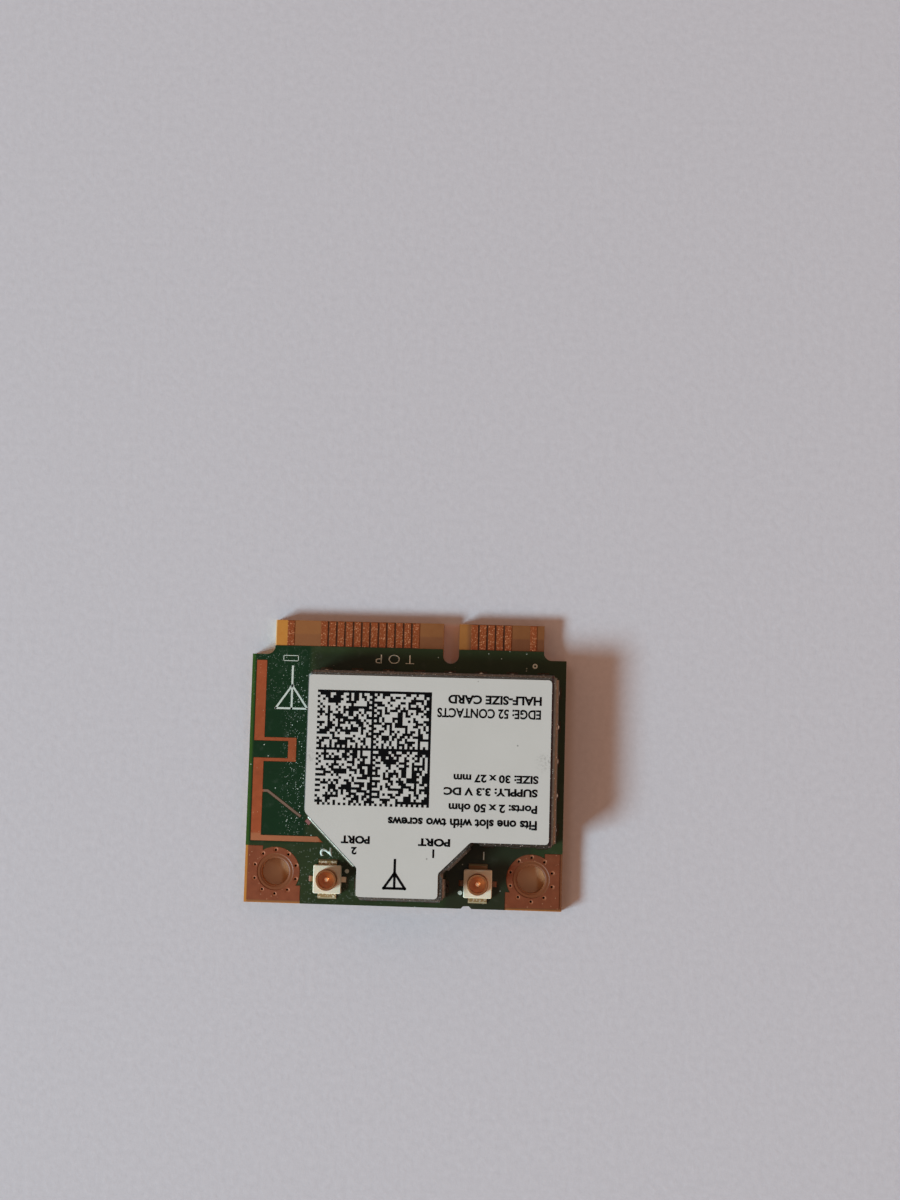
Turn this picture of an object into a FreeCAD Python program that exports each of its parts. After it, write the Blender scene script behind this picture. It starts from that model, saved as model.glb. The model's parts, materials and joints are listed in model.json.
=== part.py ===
# Half-size wireless network card, lying flat with its shield up.
# X runs across the card, +Y points to the edge connector and Z is up. Millimetres throughout.
# The origin lies under the middle of the board's outline, on the surface that the card rests on.

import FreeCAD
import Part
import Sketcher
import math
import os
import re

SIZES = {
    # Edge connector
    "contact_pitch": 0.8,         # centre to centre along one face
    "contact_width": 0.62,
    "contact_end_margin": 1.05,   # outermost contact centre to the side of the tongue
    "contact_setback": 0.05,      # front of the tongue to the contacts
    "tongue_length": 3.3,
    "root_radius": 0.75,          # where the tongue meets the shoulders
    "key_width": 1.5,
    "key_depth": 3.8,
    # Board
    "shoulder_width": 2.15,       # side of the tongue to the side of the board
    "board_length": 26.8,
    "core_thickness": 0.92,
    "layer": 0.04,                # copper and solder mask, each face
    "mask_on_tongue": 0.85,       # how far the mask runs on to the tongue
    "mask_gap": 0.04,             # bare laminate between mask and copper
    "nick_centre": 6.05,          # break-off nick in the back edge
    "nick_width": 1.0,
    "nick_depth": 0.24,
    # Mounting holes and their ground pads
    "hole_diameter": 2.6,
    "hole_inset": 2.9,            # hole centre to the side and back edges
    "hole_bare_ring": 0.45,       # bare laminate between hole and copper
    "pad_ring": 0.57,             # width of the copper ring
    "pad_block_step": 1.25,       # hole centre to the inner edge of each corner block
    "pad_block_overhang": 0.08,   # how far the blocks run past the ring
    "edge_pullback": 0.25,        # copper to the edges of the board
    "via_diameter": 0.24,         # across corners: the vias have eight sides, for a light mesh
    # Printed antenna
    "antenna_edge_gap": 0.45,
    "antenna_bar": 0.95,
    "antenna_front_gap": 0.6,     # shoulder to the end of the bar
    "fold_front": 7.95,           # shoulder to the fold's front edge
    "fold_width": 2.25,           # over both of its thin strips
    "fold_strip": 0.3,
    "fold_reach": 4.03,           # outer edge of the bar to the end of the fold
    "fold_bar": 0.76,
    "foot_strip": 0.5,
    "foot_pad_gap": 0.5,          # foot strip to the ground pad
    "foot_shield_gap": 1.0,       # end of the foot strip to the shield
    "feed_rise": 4.7,             # foot to the feed line
    "feed_line": 0.22,
    "feed_lead": 0.5,
    "feed_run": 4.0,
    "feed_angle": 36.0,
    "feed_pad": 0.5,
    "feed_pad_gap": 0.06,         # to the slope of the lid
    "feed_pad_drop": 0.38,        # along the slope from its upper end
    # Shield
    "shield_left_gap": 5.7,       # side of the board to the lid
    "shield_right_gap": 0.7,
    "shield_front_gap": 1.45,     # shoulder to the lid
    "shield_back_gap": 0.7,
    "shelf_pad_gap": 0.7,         # lid to the right ground pad
    "jack_gap_left": 2.8,         # jack centre to the lid's tail
    "jack_gap_right": 3.0,
    "tail_left_rise": 2.69,       # back of the tail to the left slope
    "tail_right_rise": 2.6,
    "lid_height": 2.2,            # board to the top of the lid
    "lid_sheet": 0.15,
    "frame_sheet": 0.2,
    "fit_gap": 0.05,              # frame to the walls of the lid
    "bend_radius": 0.35,
    "corner_relief": 0.45,        # radius of the gaps at the folded corners
    "lip_width": 0.6,
    "arch_width": 1.3,            # openings between the feet of the frame
    "arch_height": 0.35,
    "land_length": 1.0,
    "land_outside": 0.42,         # past the outer face of the frame
    "land_inside": 0.15,
    "solder_spot": 0.42,          # height of the solder at the foot, and its reach
    "solder_length": 0.9,
    "skirt_gap": 0.05,            # solder spots to the walls of the lid
    # Label
    "label_margin": 0.4,
    "label_shift_x": -0.27,
    "label_shift_y": -0.08,
    "label_slope_drop": 0.22,     # more margin along the left slope
    "label_thickness": 0.08,
    "label_corner": 0.35,
    # Antenna jacks
    "jack_spacing": 14.2,
    "jack_back_gap": 2.37,        # jack centre to the back edge
    "jack_base": 2.65,
    "jack_base_height": 0.4,
    "jack_base_corner": 0.15,
    "jack_base_bevel": 0.06,
    "jack_height": 1.25,
    "ring_diameter": 2.0,
    "ring_wall": 0.22,
    "ring_groove": 0.07,
    "groove_drop": 0.3,           # top of the jack to its groove
    "groove_width": 0.22,
    "pin_diameter": 0.5,
    "pin_height": 0.95,
    "pin_bevel": 0.12,
    "tab_width": 1.75,
    "tab_reach": 0.36,            # past the insulator
    "tab_sheet": 0.15,
    "tail_width": 0.5,
    "tail_sheet": 0.1,
    "tail_reach": 0.3,
    "solder_run": 0.14,
    # Parts under the shield
    "part_gap": 0.5,
    "chip_size": 8.0,
    "chip_height": 0.85,
    "chip_bevel": 0.1,
    "module_size": 2.6,
    "module_height": 0.7,
    "filter_length": 1.6,
    "filter_width": 0.8,
    "filter_height": 0.6,
    "crystal_length": 3.2,
    "crystal_width": 2.5,
    "crystal_height": 0.75,
    "memory_length": 3.0,
    "memory_width": 2.0,
    "memory_height": 0.6,
    "regulator_size": 3.0,
    "regulator_height": 0.75,
    "inductor_length": 2.5,
    "inductor_width": 2.0,
    "inductor_height": 1.2,
    "capacitor_length": 1.0,
    "capacitor_width": 0.5,
    "capacitor_height": 0.5,
    "resistor_length": 0.6,
    "resistor_width": 0.3,
    "resistor_height": 0.25,
}

doc = FreeCAD.newDocument("wireless_card")
sheet = doc.addObject("Spreadsheet::Sheet", "sizes")
for row, (name, number) in enumerate(SIZES.items(), start=1):
    sheet.set(f"A{row}", name)
    sheet.set(f"B{row}", str(number))
    sheet.setAlias(f"B{row}", name)
doc.recompute()

# Formulas that several pieces share. Each name in them is a cell of the sheet.
KEY_PITCHES = 5                   # from the middle of the tongue to the key notch
PITCHES = 29.5                    # from the first contact on top to the last one below
TONGUE_HALF = f"({PITCHES} * contact_pitch / 2 + contact_end_margin)"
SIDE = f"({TONGUE_HALF} + shoulder_width)"
FRONT = "(board_length / 2)"
BACK = "(-board_length / 2)"
SHOULDER = f"({FRONT} - tongue_length)"
MASK_FRONT = f"({SHOULDER} + mask_on_tongue)"
TOP_LAYER = "(core_thickness + layer)"
TOP = "(core_thickness + 2 * layer)"
KEY_X = f"(contact_pitch * {KEY_PITCHES})"
HOLE_X = f"({SIDE} - hole_inset)"
HOLE_Y = f"({BACK} + hole_inset)"
PAD_INNER = "(hole_diameter / 2 + hole_bare_ring)"
PAD_OUTER = f"({PAD_INNER} + pad_ring)"
PAD_REACH = f"({PAD_OUTER} + pad_block_overhang)"
PAD_TOP = f"({HOLE_Y} + {PAD_REACH})"
VIA_CIRCLE = f"({PAD_INNER} + pad_ring / 2)"
JACK_X = "(jack_spacing / 2)"
JACK_Y = f"({BACK} + jack_back_gap)"

LID_LEFT = f"(-{SIDE} + shield_left_gap)"
LID_RIGHT = f"({SIDE} - shield_right_gap)"
LID_FRONT = f"({SHOULDER} - shield_front_gap)"
LID_BACK = f"({BACK} + shield_back_gap)"
LID_SHELF = f"({PAD_TOP} + shelf_pad_gap)"
TAIL_LEFT = f"(-{JACK_X} + jack_gap_left)"
TAIL_RIGHT = f"({JACK_X} - jack_gap_right)"
SLOPE_LEFT = f"({LID_BACK} + tail_left_rise)"
SLOPE_RIGHT = f"({LID_BACK} + tail_right_rise)"
FRAME_INSET = "(lid_sheet + fit_gap)"
INSIDE = f"({FRAME_INSET} + frame_sheet)"

CLOSE = 1e-6                      # places nearer than this are the same place
VIAS = 10
TOP_CONTACTS = [0] + list(range(3, 8)) + list(range(14, 26)) + [29]
BOTTOM_CONTACTS = list(range(8)) + list(range(12, 30))


def cells(formula):
    """Point each size's name in a formula at its cell of the sheet."""
    return re.sub(r"[a-z_]+", lambda word: f"sizes.{word[0]}" if word[0] in SIZES else word[0], formula)


def value(formula):
    return float(sheet.evalExpression(cells(formula)))


def bind(thing, place, formula):
    thing.setExpression(place, cells(formula))


# Sketches and features

def new_body(label, x="0", y="0", z="0"):
    body = doc.addObject("PartDesign::Body", label)
    for axis, formula in zip("xyz", (x, y, z)):
        bind(body, f"Placement.Base.{axis}", formula)
    return body


def new_sketch(body, plane="XY_Plane", x="0", y="0", turn="0"):
    sketch = body.newObject("Sketcher::SketchObject", "sketch")
    support = next(item for item in body.Origin.OriginFeatures if item.Role == plane)
    sketch.AttachmentSupport = [(support, "")]
    sketch.MapMode = "FlatFace"
    for place, formula in (("Base.x", x), ("Base.y", y), ("Rotation.Angle", turn)):
        bind(sketch, f"AttachmentOffset.{place}", formula)
    return sketch


def hold(sketch, item, point, x, y):
    """Hold one point of a sketch at (x, y), both formulas."""
    for kind, formula in (("DistanceX", x), ("DistanceY", y)):
        number = sketch.addConstraint(Sketcher.Constraint(kind, -1, 1, item, point, value(formula)))
        bind(sketch, f"Constraints[{number}]", formula)


def polygon(sketch, corners):
    points = [FreeCAD.Vector(value(x), value(y), 0) for x, y in corners]
    first, count = sketch.GeometryCount, len(corners)
    for i in range(count):
        sketch.addGeometry(Part.LineSegment(points[i], points[(i + 1) % count]), False)
    for i, (x, y) in enumerate(corners):
        sketch.addConstraint(Sketcher.Constraint("Coincident", first + i, 2, first + (i + 1) % count, 1))
        hold(sketch, first + i, 1, x, y)


def rectangle(sketch, x0, y0, x1, y1):
    polygon(sketch, [(x0, y0), (x1, y0), (x1, y1), (x0, y1)])


def circle(sketch, x, y, radius):
    middle = FreeCAD.Vector(value(x), value(y), 0)
    item = sketch.addGeometry(Part.Circle(middle, FreeCAD.Vector(0, 0, 1), value(radius)), False)
    hold(sketch, item, 3, x, y)
    number = sketch.addConstraint(Sketcher.Constraint("Radius", item, value(radius)))
    bind(sketch, f"Constraints[{number}]", radius)


def pad(body, sketch, length):
    feature = body.newObject("PartDesign::Pad", "pad")
    feature.Profile = sketch
    bind(feature, "Length", length)
    return feature


def pocket(body, sketch, depth=None):
    """Cut upward from the sketch, right through where no depth is given."""
    feature = body.newObject("PartDesign::Pocket", "pocket")
    feature.Profile = sketch
    feature.Reversed = True
    if depth is None:
        feature.Type = "ThroughAll"
    else:
        bind(feature, "Length", depth)
    return feature


def dress(body, kind, edges, place, formula):
    """Add a fillet or chamfer to the edges of a body that the test in edges picks."""
    doc.recompute()
    tip = body.Tip
    names = [f"Edge{n}" for n, edge in enumerate(tip.Shape.Edges, start=1) if edges(edge)]
    feature = body.newObject(f"PartDesign::{kind}", kind.lower())
    feature.Base = (tip, names)
    bind(feature, place, formula)


def upright_at(corners):
    spots = [(value(x), value(y)) for x, y in corners]

    def test(edge):
        low, high = edge.BoundBox.ZMin, edge.BoundBox.ZMax
        x, y = edge.CenterOfMass.x, edge.CenterOfMass.y
        return high - low > CLOSE and any(abs(x - u) + abs(y - v) < CLOSE for u, v in spots)
    return test


def level_at(height):
    level = value(height)
    return lambda edge: max(abs(edge.BoundBox.ZMin - level), abs(edge.BoundBox.ZMax - level)) < CLOSE


def box(x, y, z, length, width, height):
    """A block whose middle stands at (x, y) with its underside at z."""
    block = doc.addObject("Part::Box", "block")
    for place, formula in (("Length", length), ("Width", width), ("Height", height),
                           ("Placement.Base.x", f"{x} - {length} / 2"),
                           ("Placement.Base.y", f"{y} - {width} / 2"), ("Placement.Base.z", z)):
        bind(block, place, formula)
    return block


def group(label, members):
    compound = doc.addObject("Part::Compound", label)
    compound.Links = members
    return compound


# Board and solder mask

ROOT = "min(root_radius; 0.95 * shoulder_width; 0.95 * mask_on_tongue)"


def board_blank(body, front, thickness):
    """The board's plan up to the given front edge, with its nick, rounded tongue roots and key notch."""
    nick_left, nick_right = "(nick_centre - nick_width / 2)", "(nick_centre + nick_width / 2)"
    nick_top = f"({BACK} + nick_depth)"
    outline = new_sketch(body)
    polygon(outline, [(f"-{SIDE}", BACK), (nick_left, BACK), (f"{nick_left} + nick_depth", nick_top),
                      (f"{nick_right} - nick_depth", nick_top), (nick_right, BACK), (SIDE, BACK),
                      (SIDE, SHOULDER), (TONGUE_HALF, SHOULDER), (TONGUE_HALF, front),
                      (f"-{TONGUE_HALF}", front), (f"-{TONGUE_HALF}", SHOULDER), (f"-{SIDE}", SHOULDER)])
    pad(body, outline, thickness)
    roots = upright_at([(TONGUE_HALF, SHOULDER), (f"-{TONGUE_HALF}", SHOULDER)])
    dress(body, "Fillet", roots, "Radius", ROOT)
    pocket(body, key_notch(body))


def key_notch(body):
    """A slot from ahead of the tongue back to a round end."""
    sketch = new_sketch(body)
    radius, ahead = "key_width / 2", f"{FRONT} + key_width"
    centre_y = f"{FRONT} - key_depth + key_width / 2"
    x, y, r, top = value(KEY_X), value(centre_y), value(radius), value(ahead)
    spot = FreeCAD.Vector
    left = sketch.addGeometry(Part.LineSegment(spot(x - r, top, 0), spot(x - r, y, 0)), False)
    ring = Part.Circle(spot(x, y, 0), spot(0, 0, 1), r)
    end = sketch.addGeometry(Part.ArcOfCircle(ring, math.pi, 2 * math.pi), False)
    right = sketch.addGeometry(Part.LineSegment(spot(x + r, y, 0), spot(x + r, top, 0)), False)
    front = sketch.addGeometry(Part.LineSegment(spot(x + r, top, 0), spot(x - r, top, 0)), False)
    sketch.addConstraint([Sketcher.Constraint("Tangent", left, 2, end, 1),
                          Sketcher.Constraint("Tangent", end, 2, right, 1),
                          Sketcher.Constraint("Coincident", right, 2, front, 1),
                          Sketcher.Constraint("Coincident", front, 2, left, 1),
                          Sketcher.Constraint("Vertical", left), Sketcher.Constraint("Vertical", right),
                          Sketcher.Constraint("Horizontal", front)])
    hold(sketch, end, 3, KEY_X, centre_y)
    for kind, parts, formula in (("Radius", (end,), radius), ("DistanceY", (-1, 1, left, 1), ahead)):
        number = sketch.addConstraint(Sketcher.Constraint(kind, *parts, value(formula)))
        bind(sketch, f"Constraints[{number}]", formula)
    return sketch


def block_corners(side, grow, past):
    """The L of copper between a hole and the board's corner, grown by grow and stretched past the edges."""
    outer, back = f"{side} * ({SIDE} - edge_pullback + {past})", f"{BACK} + edge_pullback - {past}"
    inner = f"{side} * ({HOLE_X} - {PAD_REACH} - {grow})"
    step_x = f"{side} * ({HOLE_X} + pad_block_step - {grow})"
    step_y = f"{HOLE_Y} - pad_block_step + {grow}"
    front = f"{PAD_TOP} + {grow}"
    return [(outer, back), (inner, back), (inner, step_y), (step_x, step_y), (step_x, front), (outer, front)]


def open_pads(body):
    """Clear the mask off both ground pads, out to the edges of the board."""
    rings = new_sketch(body)
    for side in (-1, 1):
        circle(rings, f"{side} * {HOLE_X}", HOLE_Y, f"{PAD_OUTER} + mask_gap")
    pocket(body, rings)
    blocks = new_sketch(body)
    for side in (-1, 1):
        polygon(blocks, block_corners(side, "mask_gap", "(edge_pullback + 1)"))
    pocket(body, blocks)


def ring_of_vias(body, side):
    """Pierce one via beside a mounting hole and repeat it round the hole."""
    sketch = new_sketch(body, x=f"{side} * {HOLE_X}", y=HOLE_Y)
    turns = [f"({45 * n} deg)" for n in range(8)]
    polygon(sketch, [(f"via_diameter / 2 * cos{turn}", f"{VIA_CIRCLE} + via_diameter / 2 * sin{turn}")
                     for turn in turns])
    first_via = pocket(body, sketch)
    pattern = body.newObject("PartDesign::PolarPattern", "vias")
    pattern.Originals = [first_via]
    pattern.Axis = (sketch, ["N_Axis"])
    pattern.Angle = 360
    pattern.Occurrences = VIAS
    body.Tip = pattern


board = new_body("board", z="layer")
board_blank(board, FRONT, "core_thickness")
holes = new_sketch(board)
for side in (-1, 1):
    circle(holes, f"{side} * {HOLE_X}", HOLE_Y, "hole_diameter / 2")
pocket(board, holes)
for side in (-1, 1):
    ring_of_vias(board, side)

mask_bottom = new_body("solder_mask_bottom")
board_blank(mask_bottom, MASK_FRONT, "layer")
open_pads(mask_bottom)

mask_top = new_body("solder_mask_top", z=TOP_LAYER)
board_blank(mask_top, MASK_FRONT, "layer")
open_pads(mask_top)


# Edge contacts, counted in pitches from the first one

def edge_contacts(label, places, first, z):
    back = f"({MASK_FRONT} + mask_gap)"
    length = f"({FRONT} - contact_setback - {back})"
    return group(label, [box(f"({first} - {n} * contact_pitch)", f"({back} + {length} / 2)", z,
                             "contact_width", length, "layer") for n in places])


FIRST_CONTACT = f"{PITCHES} * contact_pitch / 2"
contacts_top = edge_contacts("edge_contacts_top", TOP_CONTACTS, FIRST_CONTACT, TOP_LAYER)
contacts_bottom = edge_contacts("edge_contacts_bottom", BOTTOM_CONTACTS,
                                f"{FIRST_CONTACT} - contact_pitch / 2", "0")


# Ground pads round the mounting holes

def ground_pad(label, side, z):
    body = new_body(label, z=z)
    ring = new_sketch(body)
    circle(ring, f"{side} * {HOLE_X}", HOLE_Y, PAD_OUTER)
    pad(body, ring, "layer")
    block = new_sketch(body)
    polygon(block, block_corners(side, "0", "0"))
    pad(body, block, "layer")
    bore = new_sketch(body)
    circle(bore, f"{side} * {HOLE_X}", HOLE_Y, PAD_INNER)
    pocket(body, bore)
    ring_of_vias(body, side)
    return body


pads = [ground_pad("ground_pad_left", -1, TOP_LAYER), ground_pad("ground_pad_right", 1, TOP_LAYER),
        ground_pad("ground_pad_left_below", -1, "0"), ground_pad("ground_pad_right_below", 1, "0")]


# Printed antenna, its feed line and the pad at the shield's foot

BAR_OUTER = f"(-{SIDE} + antenna_edge_gap)"
BAR_INNER = f"({BAR_OUTER} + antenna_bar)"
FOLD_FRONT = f"({SHOULDER} - fold_front)"
FOLD_BACK = f"({FOLD_FRONT} - fold_width)"
FOLD_END = f"({BAR_OUTER} + fold_reach)"
FOOT_BACK = f"({PAD_TOP} + foot_pad_gap)"
FOOT_FRONT = f"({FOOT_BACK} + foot_strip)"
SLOPE_TOP = f"({SLOPE_LEFT} + {TAIL_LEFT} - {LID_LEFT})"
SLOPE_SUM = f"({LID_LEFT} + {SLOPE_TOP})"
FEED_Y = f"({FOOT_BACK} + feed_rise)"
FEED_MITRE = "(feed_line / 2 * tan(feed_angle / 2 * 1 deg))"


def antenna_plan(body, grow, cut):
    """Draw the antenna and its feed line, grown by grow, with cut as the feature for each sketch."""
    sketch = new_sketch(body)
    polygon(sketch, [
        (f"{BAR_OUTER} - {grow}", f"{SHOULDER} - antenna_front_gap + {grow}"),
        (f"{BAR_OUTER} - {grow}", f"{FOLD_FRONT} - fold_strip - {grow}"),
        (f"{FOLD_END} - fold_bar - {grow}", f"{FOLD_FRONT} - fold_strip - {grow}"),
        (f"{FOLD_END} - fold_bar - {grow}", f"{FOLD_BACK} + fold_strip + {grow}"),
        (f"{BAR_OUTER} - {grow}", f"{FOLD_BACK} + fold_strip + {grow}"),
        (f"{BAR_OUTER} - {grow}", f"{FOOT_BACK} - {grow}"),
        (f"{SLOPE_SUM} - {FOOT_BACK} - foot_shield_gap + 2 * {grow}", f"{FOOT_BACK} - {grow}"),
        (f"{SLOPE_SUM} - {FOOT_FRONT} - foot_shield_gap", f"{FOOT_FRONT} + {grow}"),
        (f"{BAR_INNER} + {grow}", f"{FOOT_FRONT} + {grow}"),
        (f"{BAR_INNER} + {grow}", f"{FOLD_BACK} - {grow}"),
        (f"{FOLD_END} + {grow}", f"{FOLD_BACK} - {grow}"),
        (f"{FOLD_END} + {grow}", f"{FOLD_FRONT} + {grow}"),
        (f"{BAR_INNER} + {grow}", f"{FOLD_FRONT} + {grow}"),
        (f"{BAR_INNER} + {grow}", f"{SHOULDER} - antenna_front_gap + {grow}")])
    cut(body, sketch)
    lead = new_sketch(body, x=BAR_INNER, y=FEED_Y)
    rectangle(lead, "-antenna_bar / 2", f"-feed_line / 2 - {grow}", f"feed_lead + {FEED_MITRE}",
              f"feed_line / 2 + {grow}")
    cut(body, lead)
    run = new_sketch(body, x=f"{BAR_INNER} + feed_lead", y=FEED_Y, turn="-feed_angle")
    rectangle(run, f"-{FEED_MITRE}", f"-feed_line / 2 - {grow}", f"feed_run + {grow}",
              f"feed_line / 2 + {grow}")
    cut(body, run)


def feed_pad_plan(body, grow):
    """A square beside the shield's left slope."""
    sketch = new_sketch(body, x=LID_LEFT, y=SLOPE_TOP, turn="-45")
    rectangle(sketch, f"feed_pad_drop - {grow}", f"-feed_pad_gap - feed_pad - {grow}",
              f"feed_pad_drop + feed_pad + {grow}", f"-feed_pad_gap + {grow}")
    return sketch


antenna = new_body("printed_antenna", z=TOP_LAYER)
antenna_plan(antenna, "0", lambda body, sketch: pad(body, sketch, "layer"))
antenna_plan(mask_top, "mask_gap", pocket)

feed_pad = new_body("feed_pad", z=TOP_LAYER)
pad(feed_pad, feed_pad_plan(feed_pad, "0"), "layer")
pocket(mask_top, feed_pad_plan(mask_top, "mask_gap"))


# Shield: a frame soldered to the board and a folded lid that snaps over it

SHELF_X = f"({TAIL_RIGHT} + {LID_SHELF} - {SLOPE_RIGHT})"


def shield_plan(inset, x="0", y="0", drop="0"):
    """Corners of the shield's plan moved inward by inset, anticlockwise from the tail's left corner.

    The whole plan shifts by x and y, and its left slope alone by drop.
    """
    part = f"({inset} * (sqrt(2) - 1))"
    corners = [(f"{TAIL_LEFT} + {inset}", f"{LID_BACK} + {inset}"),
               (f"{TAIL_RIGHT} - {inset}", f"{LID_BACK} + {inset}"),
               (f"{TAIL_RIGHT} - {inset}", f"{SLOPE_RIGHT} + {part}"),
               (f"{SHELF_X} - {part}", f"{LID_SHELF} + {inset}"),
               (f"{LID_RIGHT} - {inset}", f"{LID_SHELF} + {inset}"),
               (f"{LID_RIGHT} - {inset}", f"{LID_FRONT} - {inset}"),
               (f"{LID_LEFT} + {inset}", f"{LID_FRONT} - {inset}"),
               (f"{LID_LEFT} + {inset}", f"{SLOPE_TOP} + {part} + {drop}"),
               (f"{TAIL_LEFT} + {inset}", f"{SLOPE_LEFT} + {part} + {drop}")]
    return [(f"{u} + {x}", f"{v} + {y}") for u, v in corners]


def shield_block(label, inset, z, height):
    body = new_body(label, z=z)
    outline = new_sketch(body)
    polygon(outline, shield_plan(inset))
    pad(body, outline, height)
    return body


def can(label, inset, z, height, thickness):
    """A folded can, open below. Returns its outer block, for further cuts, and the hollow can."""
    outside = shield_block(f"{label}_outside", inset, z, height)
    inside = shield_block(f"{label}_inside", f"({inset} + {thickness})", z, f"({height} - {thickness})")
    hollow = doc.addObject("Part::Cut", label)
    hollow.Base, hollow.Tool = outside, inside
    dress(inside, "Chamfer", level_at(f"({height} - {thickness})"), "Size", f"bend_radius - {thickness}")
    return outside, hollow


def solder_wedge(x, y, turn, wide, high, run):
    """A fillet of solder: high against the face that it stands at, running down to nothing."""
    wedge = doc.addObject("Part::Wedge", "wedge")
    wedge.Placement.Rotation = FreeCAD.Rotation(FreeCAD.Vector(0, 0, 1), turn)
    for place, formula in (("Xmin", f"-{wide} / 2"), ("Xmax", f"{wide} / 2"), ("X2min", f"-{wide} / 2"),
                           ("X2max", f"{wide} / 2"), ("Ymin", "0"), ("Ymax", run), ("Zmin", "0"),
                           ("Zmax", high), ("Z2min", "0"), ("Z2max", "0"), ("Placement.Base.x", x),
                           ("Placement.Base.y", y), ("Placement.Base.z", TOP)):
        bind(wedge, place, formula)
    return wedge


# Each straight wall: whether it runs along X, its place across, its ends, the way it faces and its feet
WALLS = [(True, LID_FRONT, LID_LEFT, LID_RIGHT, 1, 8), (True, LID_SHELF, SHELF_X, LID_RIGHT, -1, 3),
         (True, LID_BACK, TAIL_LEFT, TAIL_RIGHT, -1, 3), (False, LID_RIGHT, LID_SHELF, LID_FRONT, 1, 5),
         (False, LID_LEFT, SLOPE_TOP, LID_FRONT, -1, 4), (False, TAIL_LEFT, LID_BACK, SLOPE_LEFT, -1, 1),
         (False, TAIL_RIGHT, LID_BACK, SLOPE_RIGHT, 1, 1)]


def along_walls(first, depth):
    """Yield places one foot's share apart along each wall, as formulas, at a depth behind its outer face."""
    for along_x, across, low, high, facing, feet in WALLS:
        for n in range(math.ceil(feet - first)):
            along = f"({low} + ({high} - {low}) * {(n + first) / feet})"
            place = f"({across} - {facing} * ({depth}))"
            yield (along, place, along_x, facing) if along_x else (place, along, along_x, facing)


fence, frame = can("shield_frame", FRAME_INSET, TOP, "(lid_height - lid_sheet)", "frame_sheet")
dress(fence, "Chamfer", level_at("(lid_height - lid_sheet)"), "Size", "bend_radius - lid_sheet + fit_gap")
window = new_sketch(fence)
polygon(window, shield_plan(f"({FRAME_INSET} + lip_width)"))
pocket(fence, window)
arches = new_sketch(fence)
for x, y, along_x, facing in along_walls(1, f"{FRAME_INSET} + frame_sheet / 2"):
    half_x, half_y = ("arch_width / 2", "frame_sheet") if along_x else ("frame_sheet", "arch_width / 2")
    rectangle(arches, f"{x} - {half_x}", f"{y} - {half_y}", f"{x} + {half_x}", f"{y} + {half_y}")
pocket(fence, arches, "arch_height")

lands, spots, land_openings = [], [], new_sketch(mask_top)
depth = "(land_outside + frame_sheet + land_inside)"
for x, y, along_x, facing in along_walls(0.5, f"{FRAME_INSET} - land_outside + {depth} / 2"):
    wide, deep = ("land_length", depth) if along_x else (depth, "land_length")
    lands.append(box(x, y, TOP_LAYER, wide, deep, "layer"))
    rectangle(land_openings, f"{x} - {wide} / 2 - mask_gap", f"{y} - {deep} / 2 - mask_gap",
              f"{x} + {wide} / 2 + mask_gap", f"{y} + {deep} / 2 + mask_gap")
pocket(mask_top, land_openings)
shield_lands = group("shield_lands", lands)

for x, y, along_x, facing in along_walls(0.5, FRAME_INSET):
    turn = (0 if along_x else -90) + 90 * (1 - facing)
    spots.append(solder_wedge(x, y, turn, "solder_length", "solder_spot", "solder_spot"))
shield_solder = group("shield_solder", spots)

SKIRT = "(solder_spot + skirt_gap)"
cover, lid = can("shield_lid", "0", f"{TOP} + {SKIRT}", f"(lid_height - {SKIRT})", "lid_sheet")
dress(cover, "Fillet", level_at(f"(lid_height - {SKIRT})"), "Radius", "bend_radius")
reliefs = new_sketch(cover)
for corner in shield_plan("0"):
    circle(reliefs, *corner, "corner_relief")
pocket(cover, reliefs)


# Label on the lid

label = new_body("label", z=f"{TOP} + lid_height")
label_plan = shield_plan("label_margin", "label_shift_x", "label_shift_y", "label_slope_drop")
outline = new_sketch(label)
polygon(outline, label_plan)
pad(label, outline, "label_thickness")
dress(label, "Fillet", upright_at(label_plan), "Radius", "label_corner")


# Antenna jacks

BASE_CORNERS = [(f"{u} * jack_base / 2", f"{v} * jack_base / 2") for u in (-1, 1) for v in (-1, 1)]


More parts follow.
